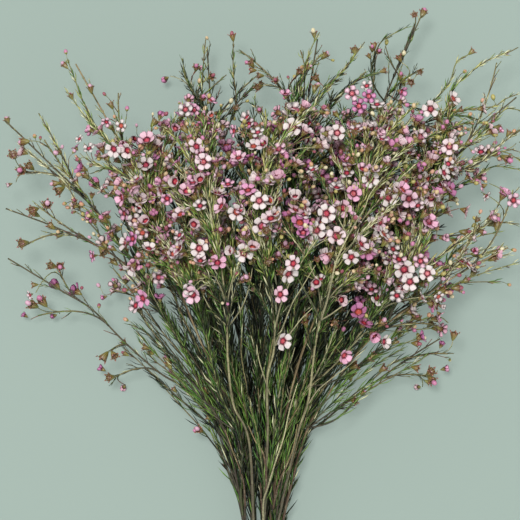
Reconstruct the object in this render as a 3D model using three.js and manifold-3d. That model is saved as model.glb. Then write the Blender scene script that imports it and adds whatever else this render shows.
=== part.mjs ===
// A bunch of waxflower (Chamelaucium uncinatum) lying on its side: fifteen cut stems that a wound
// rubber band holds together, each fanning out into side sprays with needle twigs and flower heads.
// Millimetres. +Z is up, +Y runs from the cut ends to the leafy tips, +X is to the right from above.
import * as THREE from "three";
import { mergeVertices } from "three/addons/utils/BufferGeometryUtils.js";
import Module from "manifold-3d";

const wasm = await Module();
wasm.setup();

// ---- Driving dimensions ---------------------------------------------------------------------
const BAND = { y: 77, innerRadius: 12.8, windings: 3, winding: 2.6, wall: 1.3, valley: 0.6, segments: 24 };
const BUNDLE_HEIGHT = BAND.innerRadius + BAND.wall; // the bundle's middle, above the surface
const RING_RADIUS = { centre: 0, inner: 4.9, outer: 9.4 }; // where the stems stand inside the band
const CUT_END = { splay: 1.12, y: 9, unevenness: 8 }; // the ends below the band, not cut level
const STEM_TIP_RADIUS = 0.55;
const SPRAY = { share: 0.62, thinnest: 0.75, tipRadius: 0.5, sweep: 0.42 };
const TWIG = { startRadius: 0.55, endRadius: 0.45, sweep: 0.5, back: 0.16, first: 0.2, last: 0.94 };
const GAP = 0.35; // clear space between two pieces
const WELD = 1e-3; // corners nearer than this are one corner
const SIDES = { stem: 6, spray: 4, twig: 3, flower: 5 };
const RINGS = { stem: 12, spray: 5, twig: 1 };
const BALLS = { stem: 160, spray: 40, twigStep: 3 }; // how finely limbs are tested for clear space
const SEARCH = { stemSteps: 400, spraySteps: 20, sprayFirst: 4 }; // how finely curves are searched

// An open flower, as a lathe outline from the foot of its cup over the petals' rim to the disc, and
// a bell, which is a cup that has lost its petals or hasn't opened yet.
const HEAD = { foot: 5.2, throatRadius: 2.6, petalRadius: 8, rimRise: 1.2, disc: 1.9, spacing: 15 };
const BELL = { foot: 5.6, rimRadius: 2.7 };
const HEAD_SUNK = 0.6; // how far a head reaches into the end of its twig
const HEAD_MIX = { twig: 0.55, outward: 0.65, own: 0.5 }; // what a flower's face turns to
const OUTWARD_SIDEWAYS = 0.5; // how much of its place across the bunch turns a flower outward

// The upper flowers lie on a low dome over the bunch.
const DOME = { edge: 52, crest: 104, y: 345, before: 140, after: 175, halfWidth: 190 };
const BURIED = 12; // how far below the dome the lowest of the upper flowers sits

// ---- The plan: every stem's route above the band, chosen by hand -----------------------------
// ring and slot (degrees) give its place inside the band, thick its diameter at the cut end.
const STEMS = {
  centre: { ring: "outer", slot: 90, thick: 3.4, route: [
    [4, 171, 50], [4, 201, 66], [4, 225, 82], [9, 247, 95], [7, 281, 112], [1, 330, 132], [2, 379, 142]] },
  centre_left: { ring: "outer", slot: 130, thick: 3.8, route: [
    [-9, 171, 47], [-21, 203, 60], [-25, 237, 80], [-26, 275, 102], [-32, 320, 124], [-43, 372, 136]] },
  left: { ring: "outer", slot: 170, thick: 3.2, route: [
    [-24, 170, 33], [-42, 208, 42], [-61, 248, 50], [-82, 284, 54], [-108, 312, 55], [-148, 332, 52],
    [-190, 348, 48]] },
  low_left: { ring: "outer", slot: 210, thick: 2.6, route: [
    [-26, 165, 17], [-38, 192, 22], [-55, 212, 26], [-77, 226, 30], [-102, 248, 32], [-127, 273, 31],
    [-150, 287, 30], [-190, 311, 26]] },
  under_left: { ring: "outer", slot: 250, thick: 3.6, route: [
    [-9, 171, 8], [-12, 208, 10], [-17, 251, 12], [-26, 302, 14], [-33, 354, 16], [-37, 405, 20],
    [-41, 469, 30]] },
  under_right: { ring: "outer", slot: 290, thick: 3.6, route: [
    [10, 171, 7], [20, 215, 9], [34, 266, 12], [51, 324, 14], [70, 376, 16], [89, 423, 22],
    [114, 486, 34]] },
  low_right: { ring: "outer", slot: 330, thick: 3.0, route: [
    [29, 168, 15], [47, 189, 19], [66, 205, 22], [88, 221, 26], [112, 238, 28], [133, 251, 28]] },
  right: { ring: "outer", slot: 10, thick: 3.4, route: [
    [30, 172, 29], [50, 211, 40], [79, 250, 48], [115, 279, 54], [148, 301, 58], [182, 319, 56]] },
  centre_right: { ring: "outer", slot: 50, thick: 4.0, route: [
    [24, 171, 45], [34, 206, 64], [39, 248, 86], [45, 280, 106], [54, 312, 126], [61, 348, 140]] },
  upper_right: { ring: "inner", slot: 54, thick: 3.4, route: [
    [13, 174, 39], [20, 206, 53], [28, 237, 70], [41, 273, 88], [57, 313, 104], [69, 346, 118],
    [76, 383, 126]] },
  upper_left: { ring: "inner", slot: 126, thick: 3.6, route: [
    [-13, 174, 36], [-30, 215, 50], [-52, 266, 66], [-71, 317, 82], [-89, 365, 90], [-111, 408, 82],
    [-137, 454, 70]] },
  far_left: { ring: "inner", slot: 198, thick: 3.2, route: [
    [-16, 173, 24], [-38, 215, 31], [-68, 262, 40], [-98, 311, 46], [-130, 354, 54], [-162, 386, 56],
    [-190, 413, 54]] },
  top_centre: { ring: "inner", slot: 270, thick: 3.8, route: [
    [1, 174, 17], [5, 219, 26], [12, 273, 38], [19, 332, 50], [26, 390, 60], [34, 430, 62],
    [41, 473, 58]] },
  far_right: { ring: "inner", slot: 342, thick: 3.2, route: [
    [17, 174, 22], [39, 222, 31], [66, 273, 42], [96, 324, 54], [130, 368, 62], [159, 405, 62],
    [188, 430, 58]] },
  mid_right: { ring: "centre", slot: 0, thick: 3.2, route: [
    [3, 170, 29], [26, 205, 40], [57, 236, 57], [80, 266, 73], [100, 292, 87], [119, 310, 97]] },
};

// ---- The plan: side sprays, by stem, as [y where the spray leaves the stem, [its tip]] ---------
const SPRAYS = {
  centre: [[247, [39, 324, 148]], [275, [-16, 350, 146]], [308, [17, 391, 142]]],
  centre_left: [[262, [-10, 319, 150]], [273, [-55, 324, 134]], [303, [-68, 359, 126]]],
  left: [[326, [-177, 320, 42]], [318, [-168, 352, 61]]],
  low_left: [[224, [-112, 221, 22]], [243, [-112, 243, 40]], [258, [-168, 268, 16]], [276, [-152, 306, 38]]],
  under_left: [[290, [-52, 392, 11]], [354, [-58, 451, 24]]],
  under_right: [[310, [98, 396, 11]], [376, [84, 463, 36]], [423, [120, 452, 44]]],
  low_right: [[215, [128, 222, 18]], [232, [138, 240, 40]]],
  right: [[250, [127, 262, 40]], [279, [160, 337, 68]], [300, [185, 361, 66]]],
  centre_right: [[262, [16, 333, 148]], [267, [76, 304, 134]], [294, [96, 350, 138]]],
  upper_right: [[305, [112, 380, 120]], [346, [90, 418, 112]]],
  upper_left: [[262, [-89, 322, 92]], [317, [-64, 413, 98]], [350, [-126, 380, 92]], [379, [-105, 432, 86]]],
  far_left: [[262, [-112, 288, 36]], [345, [-160, 398, 74]], [365, [-180, 374, 46]]],
  top_centre: [[315, [0, 413, 78]], [361, [76, 448, 72]], [390, [-16, 465, 50]]],
  far_right: [[273, [132, 345, 78]], [324, [141, 428, 70]], [360, [187, 392, 48]], [385, [174, 456, 50]]],
  mid_right: [[203, [54, 262, 82]], [236, [84, 264, 100]], [266, [131, 283, 82]]],
};

// ---- The plan: flowers, as [x, y] from above, their height taken from the dome -----------------
const UPPER_FLOWERS = [
  [-94, 304], [-86, 282], [-93, 325], [-88, 348], [-73, 360], [-68, 354], [-92, 306], [-171, 284],
  [-113, 410], [-102, 407], [-133, 398], [-136, 392], [-126, 391], [-107, 390], [-99, 394], [-97, 389],
  [17, 429], [30, 420], [11, 416], [22, 405], [12, 389], [1, 393], [-3, 401], [-20, 402], [-55, 418],
  [-49, 418], [43, 392], [47, 400], [54, 401], [76, 436], [77, 428], [70, 421], [83, 422], [101, 432],
  [65, 430], [68, 404], [140, 428], [123, 420], [176, 405], [-47, 391], [-42, 380], [-44, 385],
  [-44, 367], [-32, 371], [-62, 366], [-54, 359], [-2, 352], [18, 341], [9, 342], [0, 334], [-13, 315],
  [-29, 348], [-18, 344], [-49, 335], [30, 348], [46, 343], [58, 347], [39, 331], [53, 327], [28, 332],
  [-45, 318], [-60, 317], [19, 300], [13, 285], [-52, 289], [-50, 285], [39, 294], [15, 251], [60, 240],
  [72, 375], [78, 368], [116, 365], [91, 355], [114, 358], [106, 354], [123, 355], [137, 361],
  [85, 337], [79, 335], [115, 309], [120, 300], [103, 303], [107, 294], [90, 295], [98, 284],
  [70, 272], [74, 264], [81, 255], [89, 250], [64, 312], [132, 326], [155, 317], [112, 378],
  [149, 346], [162, 364], [165, 357], [131, 276], [130, 270], [129, 283], [57, 281],
];

// The lowest flowers: those given as [x, y] rest on the surface, the others stay above it.
const LOWER_FLOWERS = [
  [-58, 402], [-42, 390], [-66, 386, 13], [-34, 420, 14], [-72, 446, 16], [-47, 454, 15], [-22, 330],
  [-42, 316, 10], [-8, 304, 10], [-34, 350, 24], [106, 405], [90, 399], [114, 388, 13], [80, 416, 14],
  [42, 344], [64, 330], [34, 310, 10], [74, 356, 24], [-104, 214], [-120, 228, 17], [118, 214],
  [137, 228, 16], [-178, 268, 12], [-156, 268, 14], [134, 246, 26], [-118, 282, 24], [-102, 294, 24],
  [178, 386, 34], [194, 398, 42], [-188, 366, 38],
];

// Bells at the ends of the thin twigs, as [x, y, z].
const BELLS = [
  [-173, 277, 30], [-165, 280, 28], [-115, 222, 30], [-109, 238, 46], [-119, 236, 44], [-150, 305, 48],
  [-158, 306, 42], [-177, 397, 60], [-184, 388, 62], [-173, 380, 56], [-178, 376, 60], [-170, 346, 66],
  [-158, 351, 69], [-179, 322, 50], [-151, 360, 66], [-116, 315, 64], [-3, 446, 58], [-4, 437, 66],
  [-9, 450, 56], [28, 449, 70], [35, 452, 72], [39, 444, 76], [82, 468, 42], [87, 465, 46],
  [110, 441, 56], [117, 449, 52], [101, 461, 46], [-49, 454, 36], [-37, 447, 36], [10, 442, 74],
  [174, 338, 60], [182, 384, 60], [127, 227, 28], [128, 219, 24], [143, 256, 44],
];

// ---- Materials -------------------------------------------------------------------------------
const bark = new THREE.MeshStandardMaterial({ color: 0xa39673, roughness: 0.8, metalness: 0 });
const greenBark = new THREE.MeshStandardMaterial({ color: 0x8b8f55, roughness: 0.75, metalness: 0 });
const blossom = new THREE.MeshStandardMaterial({ color: 0xe3b9cb, roughness: 0.6, metalness: 0 });
const foliage = new THREE.MeshStandardMaterial({ color: 0x4f6b2c, roughness: 0.6, metalness: 0 });
const rubber = new THREE.MeshStandardMaterial({ color: 0xb98a5a, roughness: 0.65, metalness: 0 });

// ---- Small helpers ---------------------------------------------------------------------------
// A repeatable number between 0 and 1 for item i of series k.
function wander(i, k) {
  const wave = Math.sin(i * 12.9898 + k * 78.233) * 43758.5453;
  return wave - Math.floor(wave);
}

function point([x, y, z]) {
  return new THREE.Vector3(x, y, z);
}

// A tapered round limb along a curve: a cylinder bent so that each of its rings faces along it.
function limb(curve, rings, sides, startRadius, endRadius) {
  const geometry = new THREE.CylinderGeometry(1, 1, 1, sides, rings);
  const frames = curve.computeFrenetFrames(rings);
  const places = geometry.getAttribute("position");
  for (let v = 0; v < places.count; v += 1) {
    const ring = Math.round((places.getY(v) + 0.5) * rings);
    const radius = THREE.MathUtils.lerp(startRadius, endRadius, ring / rings);
    const at = curve.getPointAt(ring / rings);
    at.addScaledVector(frames.binormals[ring], places.getX(v) * radius);
    at.addScaledVector(frames.normals[ring], places.getZ(v) * radius);
    places.setXYZ(v, at.x, at.y, at.z);
  }
  return geometry;
}

// A closed three.js geometry as a solid, its shared corners merged.
function solid(geometry) {
  const bare = new THREE.BufferGeometry();
  bare.setAttribute("position", geometry.getAttribute("position").clone());
  bare.setIndex(geometry.getIndex());
  const merged = mergeVertices(bare, WELD);
  return new wasm.Manifold(
    new wasm.Mesh({
      numProp: 3,
      vertProperties: new Float32Array(merged.getAttribute("position").array),
      triVerts: new Uint32Array(merged.getIndex().array),
    }),
  );
}

// Several closed geometries joined into one.
function joined(geometries) {
  const whole = geometries.map(solid).reduce((sum, next) => sum.add(next));
  const mesh = whole.getMesh();
  const geometry = new THREE.BufferGeometry();
  geometry.setAttribute("position", new THREE.BufferAttribute(mesh.vertProperties, 3));
  geometry.setIndex(new THREE.BufferAttribute(mesh.triVerts, 1));
  geometry.computeVertexNormals();
  return geometry;
}

// What is already built, as balls that mark out every limb and head, each with its piece's name.
const taken = [];

function takeLimb(name, curve, count, startRadius, endRadius) {
  for (let i = 0; i <= count; i += 1) {
    const radius = THREE.MathUtils.lerp(startRadius, endRadius, i / count);
    taken.push({ name, centre: curve.getPointAt(i / count), radius });
  }
}

function isClear(name, centre, radius) {
  return taken.every(
    (ball) => ball.name === name || ball.centre.distanceTo(centre) > ball.radius + radius + GAP,
  );
}

// ---- Stems -----------------------------------------------------------------------------------
// A stem's middle line: its cut end, its slot inside the band, then its route.
function stemCurve(name, index) {
  const { ring, slot, route } = STEMS[name];
  const angle = THREE.MathUtils.degToRad(slot);
  const across = RING_RADIUS[ring] * Math.cos(angle);
  const up = RING_RADIUS[ring] * Math.sin(angle);
  const cut = new THREE.Vector3(
    across * CUT_END.splay,
    CUT_END.y - CUT_END.unevenness * wander(index, 1),
    BUNDLE_HEIGHT + up * CUT_END.splay,
  );
  const held = new THREE.Vector3(across, BAND.y, BUNDLE_HEIGHT + up);
  return new THREE.CatmullRomCurve3([cut, held, ...route.map(point)], false, "catmullrom", 0.5);
}

// How far along a stem, from 0 to 1, it first reaches a given y.
function shareAtY(curve, y) {
  for (let i = 0; i <= SEARCH.stemSteps; i += 1) {
    if (curve.getPointAt(i / SEARCH.stemSteps).y >= y) return i / SEARCH.stemSteps;
  }
  return 1;
}

const stems = {};
Object.keys(STEMS).forEach((name, index) => {
  const curve = stemCurve(name, index);
  stems[name] = { curve, radius: STEMS[name].thick / 2 };
  takeLimb(`stem_${name}`, curve, BALLS.stem, STEMS[name].thick / 2, STEM_TIP_RADIUS);
});

// ---- Sprays ----------------------------------------------------------------------------------
// A spray's middle line: from beside its stem, swept along the stem's own direction, to its tip.
function sprayPlan(stemName, number, [leavesAt, tipPlace]) {
  const { curve, radius } = stems[stemName];
  const share = shareAtY(curve, leavesAt);
  const from = curve.getPointAt(share);
  const along = curve.getTangentAt(share);
  const tip = point(tipPlace);
  const reach = tip.distanceTo(from);
  const bend = from.clone().addScaledVector(along, reach * SPRAY.sweep);
  const stemRadius = THREE.MathUtils.lerp(radius, STEM_TIP_RADIUS, share);
  const startRadius = Math.max(SPRAY.share * stemRadius, SPRAY.thinnest);
  const side = tip.clone().sub(from);
  side.addScaledVector(along, -side.dot(along)).normalize();
  const start = from.clone().addScaledVector(side, stemRadius + startRadius + GAP);
  start.addScaledVector(along, stemRadius);
  const line = new THREE.QuadraticBezierCurve3(start, bend, tip);
  return { name: `spray_${stemName}_${number + 1}`, curve: line, radius: startRadius, solids: [] };
}

const sprays = Object.entries(SPRAYS).flatMap(([stemName, list]) =>
  list.map((entry, number) => sprayPlan(stemName, number, entry)),
);
for (const spray of sprays) {
  spray.solids.push(limb(spray.curve, RINGS.spray, SIDES.spray, spray.radius, SPRAY.tipRadius));
  takeLimb(spray.name, spray.curve, BALLS.spray, spray.radius, SPRAY.tipRadius);
}

// ---- Flowers ---------------------------------------------------------------------------------
// Height of the dome over a place seen from above.
function domeHeight(x, y) {
  const along = (y - DOME.y) / (y < DOME.y ? DOME.before : DOME.after);
  const across = x / DOME.halfWidth;
  return DOME.edge + DOME.crest * Math.max(0, 1 - along * along) * Math.max(0, 1 - across * across);
}

// The spray that passes nearest to a flower, and how far along it, from 0 to 1.
function nearestSpray(place) {
  let best = { distance: Infinity };
  for (const spray of sprays) {
    for (let i = SEARCH.sprayFirst; i <= SEARCH.spraySteps; i += 1) {
      const share = i / SEARCH.spraySteps;
      const distance = spray.curve.getPoint(share).distanceTo(place);
      if (distance < best.distance) best = { distance, spray, share };
    }
  }
  return best;
}

// The way a flower faces: partly along its twig, partly out of the bunch, partly its own way.
function facing(place, twigEnd, index) {
  const outward = new THREE.Vector3(place.x * OUTWARD_SIDEWAYS, 0, place.z - DOME.edge);
  const own = new THREE.Vector3(wander(index, 3) - 0.5, wander(index, 4) - 0.5, wander(index, 5) - 0.5);
  return twigEnd
    .clone()
    .multiplyScalar(HEAD_MIX.twig)
    .addScaledVector(outward.normalize(), HEAD_MIX.outward)
    .addScaledVector(own, HEAD_MIX.own)
    .normalize();
}

// A flower head: cup and five petals as one five-cornered lathe, its foot at the origin, facing +Y.
function headGeometry() {
  const outline = [
    new THREE.Vector2(0, -HEAD_SUNK),
    new THREE.Vector2(HEAD.throatRadius, HEAD.foot),
    new THREE.Vector2(HEAD.petalRadius, HEAD.foot + HEAD.rimRise),
    new THREE.Vector2(0, HEAD.foot + HEAD.disc),
  ];
  return new THREE.LatheGeometry(outline, SIDES.flower);
}

// A bell, its foot at the origin, facing +Y.
function bellGeometry() {
  const outline = [
    new THREE.Vector2(0, -HEAD_SUNK),
    new THREE.Vector2(BELL.rimRadius, BELL.foot),
    new THREE.Vector2(0, BELL.foot),
  ];
  return new THREE.LatheGeometry(outline, SIDES.flower);
}

// A head of either kind turned to its face and set on its foot.
function placedHead(geometry, face, foot) {
  const turn = new THREE.Quaternion().setFromUnitVectors(new THREE.Vector3(0, 1, 0), face);
  return geometry.applyQuaternion(turn).translate(foot.x, foot.y, foot.z);
}

const heads = []; // the middles of the heads placed so far

// One head on its twig, left out where it would run into another piece or crowd another head.
function addHead({ place, rests, make, foot, radius, index }) {
  const { spray, share } = nearestSpray(place);
  const leaves = THREE.MathUtils.clamp(share - TWIG.back, TWIG.first, TWIG.last);
  const from = spray.curve.getPoint(leaves);
  const along = spray.curve.getTangent(leaves);
  const bend = from.clone().addScaledVector(along, place.distanceTo(from) * TWIG.sweep);
  const face = facing(place, place.clone().sub(bend).normalize(), index);
  const footPlace = place.clone().addScaledVector(face, -foot);
  const head = placedHead(make(), face, footPlace);
  head.computeBoundingBox();
  const drop = rests ? -head.boundingBox.min.z : 0;
  footPlace.z += drop;
  head.translate(0, 0, drop);
  const middle = place.clone().add(new THREE.Vector3(0, 0, drop));

  const twig = new THREE.QuadraticBezierCurve3(from, bend, footPlace);
  const steps = Math.ceil(twig.getLength() / BALLS.twigStep);
  const beads = Array.from({ length: steps }, (_, i) => twig.getPoint((i + 1) / steps));
  const clear =
    beads.every((p) => isClear(spray.name, p, TWIG.startRadius) && p.z > TWIG.startRadius + GAP) &&
    isClear(spray.name, middle, radius) &&
    heads.every((other) => other.distanceTo(middle) > HEAD.spacing * (radius / HEAD.petalRadius));
  if (!clear) return;
  spray.solids.push(limb(twig, RINGS.twig, SIDES.twig, TWIG.startRadius, TWIG.endRadius), head);
  beads.forEach((centre) => taken.push({ name: spray.name, centre, radius: TWIG.startRadius }));
  taken.push({ name: spray.name, centre: middle, radius });
  heads.push(middle);
}

const flower = { make: headGeometry, foot: HEAD.foot, radius: HEAD.petalRadius };
const bell = { make: bellGeometry, foot: BELL.foot, radius: BELL.foot / 2 };
LOWER_FLOWERS.forEach(([x, y, z], index) => {
  const rests = z === undefined;
  const place = new THREE.Vector3(x, y, rests ? HEAD.petalRadius : z);
  addHead({ ...flower, place, rests, index });
});
UPPER_FLOWERS.forEach(([x, y], index) => {
  const place = new THREE.Vector3(x, y, domeHeight(x, y) - BURIED * wander(index, 2));
  addHead({ ...flower, place, rests: false, index });
});
BELLS.forEach((place, index) => addHead({ ...bell, place: point(place), rests: false, index }));

// ---- The wound rubber band ---------------------------------------------------------------------
// A closed outline turned round the bunch's axis: flat inside, one bulge outside for each winding.
function bandGeometry() {
  const width = BAND.windings * BAND.winding;
  const outline = [new THREE.Vector2(BAND.innerRadius, -width / 2)];
  for (let i = 0; i < BAND.windings; i += 1) {
    const middle = (i + 0.5) * BAND.winding - width / 2;
    const valley = i < BAND.windings - 1 ? BAND.valley : 0;
    outline.push(new THREE.Vector2(BAND.innerRadius + BAND.wall, middle));
    outline.push(new THREE.Vector2(BAND.innerRadius + valley, middle + BAND.winding / 2));
  }
  outline.push(outline[0].clone());
  return new THREE.LatheGeometry(outline, BAND.segments);
}

// ---- The bunch, its pieces named ---------------------------------------------------------------
const bunch = new THREE.Group();
bunch.name = "waxflower_bunch";

function addPiece(name, geometry, material) {
  const piece = new THREE.Mesh(geometry, material);
  piece.name = name;
  bunch.add(piece);
}

for (const [name, { curve, radius }] of Object.entries(stems)) {
  const material = STEMS[name].ring === "outer" ? bark : greenBark;
  addPiece(`stem_${name}`, limb(curve, RINGS.stem, SIDES.stem, radius, STEM_TIP_RADIUS), material);
}
for (const spray of sprays) {
  const material = spray.solids.length > 1 ? blossom : foliage;
  addPiece(spray.name, joined(spray.solids), material);
}
addPiece("tie_band", bandGeometry().translate(0, BAND.y, BUNDLE_HEIGHT), rubber);

// The origin is the middle of the bunch's footprint, on the surface that it lies on.
const box = new THREE.Box3().setFromObject(bunch, true);
const middle = box.getCenter(new THREE.Vector3());
bunch.position.set(-middle.x, -middle.y, -box.min.z);

const root = new THREE.Group();
root.add(bunch);

export default root;
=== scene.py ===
# %% [markdown]
# # A bunch of waxflower, lying down
# Waxflower is a shrub from Western Australia. Its cut stems are thin and woody, fork at narrow angles,
# carry needle leaves in opposite pairs, and end in clouds of small flowers: a funnel cup, five round
# petals and a waxy red disc. Here fifteen stems lie on a table, held by a wound rubber band.
#
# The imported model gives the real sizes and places. Every surface seen here is worked out with numpy
# along the same stems and sprays, and stands in for the plain solids.

import bpy
import numpy as np
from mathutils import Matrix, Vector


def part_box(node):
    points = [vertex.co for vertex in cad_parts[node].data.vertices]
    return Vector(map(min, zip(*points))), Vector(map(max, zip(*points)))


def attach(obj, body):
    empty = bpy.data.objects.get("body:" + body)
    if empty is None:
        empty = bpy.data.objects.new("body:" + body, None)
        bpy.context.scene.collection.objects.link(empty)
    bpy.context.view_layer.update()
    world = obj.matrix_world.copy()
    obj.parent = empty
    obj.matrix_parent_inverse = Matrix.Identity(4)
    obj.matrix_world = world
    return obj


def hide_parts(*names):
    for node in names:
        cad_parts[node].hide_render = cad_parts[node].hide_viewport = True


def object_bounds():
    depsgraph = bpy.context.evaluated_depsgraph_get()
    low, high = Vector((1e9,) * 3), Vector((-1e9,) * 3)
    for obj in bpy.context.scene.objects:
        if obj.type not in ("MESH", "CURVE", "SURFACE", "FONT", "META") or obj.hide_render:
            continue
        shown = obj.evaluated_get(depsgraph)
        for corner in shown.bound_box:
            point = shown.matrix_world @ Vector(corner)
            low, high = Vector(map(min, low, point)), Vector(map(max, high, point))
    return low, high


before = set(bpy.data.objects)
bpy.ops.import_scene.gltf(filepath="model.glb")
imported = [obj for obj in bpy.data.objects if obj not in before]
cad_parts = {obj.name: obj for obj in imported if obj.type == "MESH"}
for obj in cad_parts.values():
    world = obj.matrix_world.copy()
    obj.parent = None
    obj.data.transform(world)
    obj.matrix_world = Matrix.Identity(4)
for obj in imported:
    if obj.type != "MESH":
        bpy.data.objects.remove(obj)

CAD_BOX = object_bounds()
print("nodes", len(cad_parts), "box", CAD_BOX)

# %% [markdown]
# ## The plan
# A plant is easiest to build in the order in which it grows: stems first, then the side sprays on
# them, then twigs, leaves and flowers. The routes of the stems and the tips of the sprays are the
# bunch's real design, so they are written down in millimetres, exactly as the solids use them.

# %% The stems: place inside the band, diameter at the cut end, and route above the band
MM = 0.001
BAND_Y = 77.0
BUNDLE_HEIGHT = 14.1
RING_RADIUS = {"centre": 0.0, "inner": 4.9, "outer": 9.4}
CUT_END_SPLAY = 1.12
CUT_END_Y = 9.0
CUT_END_UNEVENNESS = 8.0
STEM_TIP_RADIUS = 0.55
STEM_TAPER = 0.45

STEMS = {
    "centre": ("outer", 90, 3.4, [
        (4, 171, 50), (4, 201, 66), (4, 225, 82), (9, 247, 95), (7, 281, 112), (1, 330, 132),
        (2, 379, 142)]),
    "centre_left": ("outer", 130, 3.8, [
        (-9, 171, 47), (-21, 203, 60), (-25, 237, 80), (-26, 275, 102), (-32, 320, 124),
        (-43, 372, 136)]),
    "left": ("outer", 170, 3.2, [
        (-24, 170, 33), (-42, 208, 42), (-61, 248, 50), (-82, 284, 54), (-108, 312, 55), (-148, 332, 52),
        (-190, 348, 48)]),
    "low_left": ("outer", 210, 2.6, [
        (-26, 165, 17), (-38, 192, 22), (-55, 212, 26), (-77, 226, 30), (-102, 248, 32), (-127, 273, 31),
        (-150, 287, 30), (-190, 311, 26)]),
    "under_left": ("outer", 250, 3.6, [
        (-9, 171, 8), (-12, 208, 10), (-17, 251, 12), (-26, 302, 14), (-33, 354, 16), (-37, 405, 20),
        (-41, 469, 30)]),
    "under_right": ("outer", 290, 3.6, [
        (10, 171, 7), (20, 215, 9), (34, 266, 12), (51, 324, 14), (70, 376, 16), (89, 423, 22),
        (114, 486, 34)]),
    "low_right": ("outer", 330, 3.0, [
        (29, 168, 15), (47, 189, 19), (66, 205, 22), (88, 221, 26), (112, 238, 28), (133, 251, 28)]),
    "right": ("outer", 10, 3.4, [
        (30, 172, 29), (50, 211, 40), (79, 250, 48), (115, 279, 54), (148, 301, 58), (182, 319, 56)]),
    "centre_right": ("outer", 50, 4.0, [
        (24, 171, 45), (34, 206, 64), (39, 248, 86), (45, 280, 106), (54, 312, 126), (61, 348, 140)]),
    "upper_right": ("inner", 54, 3.4, [
        (13, 174, 39), (20, 206, 53), (28, 237, 70), (41, 273, 88), (57, 313, 104), (69, 346, 118),
        (76, 383, 126)]),
    "upper_left": ("inner", 126, 3.6, [
        (-13, 174, 36), (-30, 215, 50), (-52, 266, 66), (-71, 317, 82), (-89, 365, 90), (-111, 408, 82),
        (-137, 454, 70)]),
    "far_left": ("inner", 198, 3.2, [
        (-16, 173, 24), (-38, 215, 31), (-68, 262, 40), (-98, 311, 46), (-130, 354, 54), (-162, 386, 56),
        (-190, 413, 54)]),
    "top_centre": ("inner", 270, 3.8, [
        (1, 174, 17), (5, 219, 26), (12, 273, 38), (19, 332, 50), (26, 390, 60), (34, 430, 62),
        (41, 473, 58)]),
    "far_right": ("inner", 342, 3.2, [
        (17, 174, 22), (39, 222, 31), (66, 273, 42), (96, 324, 54), (130, 368, 62), (159, 405, 62),
        (188, 430, 58)]),
    "mid_right": ("centre", 0, 3.2, [
        (3, 170, 29), (26, 205, 40), (57, 236, 57), (80, 266, 73), (100, 292, 87), (119, 310, 97)]),
}
STEM_NAMES = list(STEMS)

# %% The side sprays: y where each leaves its stem, and its tip
SPRAYS = {
    "centre": [(247, (39, 324, 148)), (275, (-16, 350, 146)), (308, (17, 391, 142))],
    "centre_left": [(262, (-10, 319, 150)), (273, (-55, 324, 134)), (303, (-68, 359, 126))],
    "left": [(326, (-177, 320, 42)), (318, (-168, 352, 61))],
    "low_left": [(224, (-112, 221, 22)), (243, (-112, 243, 40)), (258, (-168, 268, 16)),
                 (276, (-152, 306, 38))],
    "under_left": [(290, (-52, 392, 11)), (354, (-58, 451, 24))],
    "under_right": [(310, (98, 396, 11)), (376, (84, 463, 36)), (423, (120, 452, 44))],
    "low_right": [(215, (128, 222, 18)), (232, (138, 240, 40))],
    "right": [(250, (127, 262, 40)), (279, (160, 337, 68)), (300, (185, 361, 66))],
    "centre_right": [(262, (16, 333, 148)), (267, (76, 304, 134)), (294, (96, 350, 138))],
    "upper_right": [(305, (112, 380, 120)), (346, (90, 418, 112))],
    "upper_left": [(262, (-89, 322, 92)), (317, (-64, 413, 98)), (350, (-126, 380, 92)),
                   (379, (-105, 432, 86))],
    "far_left": [(262, (-112, 288, 36)), (345, (-160, 398, 74)), (365, (-180, 374, 46))],
    "top_centre": [(315, (0, 413, 78)), (361, (76, 448, 72)), (390, (-16, 465, 50))],
    "far_right": [(273, (132, 345, 78)), (324, (141, 428, 70)), (360, (187, 392, 48)),
                  (385, (174, 456, 50))],
    "mid_right": [(203, (54, 262, 82)), (236, (84, 264, 100)), (266, (131, 283, 82))],
}
print(len(STEMS), "stems,", sum(len(s) for s in SPRAYS.values()), "sprays")

# %% The flowers of the upper face, as (x, y); they lie on a low dome over the bunch
UPPER_FLOWERS = [
    (-94, 304), (-86, 282), (-93, 325), (-88, 348), (-73, 360), (-68, 354), (-92, 306), (-171, 284),
    (-113, 410), (-102, 407), (-133, 398), (-136, 392), (-126, 391), (-107, 390), (-99, 394), (-97, 389),
    (17, 429), (30, 420), (11, 416), (22, 405), (12, 389), (1, 393), (-3, 401), (-20, 402), (-55, 418),
    (-49, 418), (43, 392), (47, 400), (54, 401), (76, 436), (77, 428), (70, 421), (83, 422), (101, 432),
    (65, 430), (68, 404), (140, 428), (123, 420), (176, 405), (-47, 391), (-42, 380), (-44, 385),
    (-44, 367), (-32, 371), (-62, 366), (-54, 359), (-2, 352), (18, 341), (9, 342), (0, 334), (-13, 315),
    (-29, 348), (-18, 344), (-49, 335), (30, 348), (46, 343), (58, 347), (39, 331), (53, 327), (28, 332),
    (-45, 318), (-60, 317), (19, 300), (13, 285), (-52, 289), (-50, 285), (39, 294), (15, 251), (60, 240),
    (72, 375), (78, 368), (116, 365), (91, 355), (114, 358), (106, 354), (123, 355), (137, 361),
    (85, 337), (79, 335), (115, 309), (120, 300), (103, 303), (107, 294), (90, 295), (98, 284),
    (70, 272), (74, 264), (81, 255), (89, 250), (64, 312), (132, 326), (155, 317), (112, 378),
    (149, 346), (162, 364), (165, 357), (131, 276), (130, 270), (129, 283), (57, 281),
]

# %% Those of them that are wide open, large and turned to the light
WIDE_OPEN = {
    (46, 343), (58, 347), (-2, 352), (0, 334), (-13, 315), (91, 355), (106, 354), (123, 355), (78, 368),
    (39, 331), (53, 327), (103, 303), (120, 300), (107, 294), (22, 405), (65, 430), (-42, 380),
}

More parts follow.
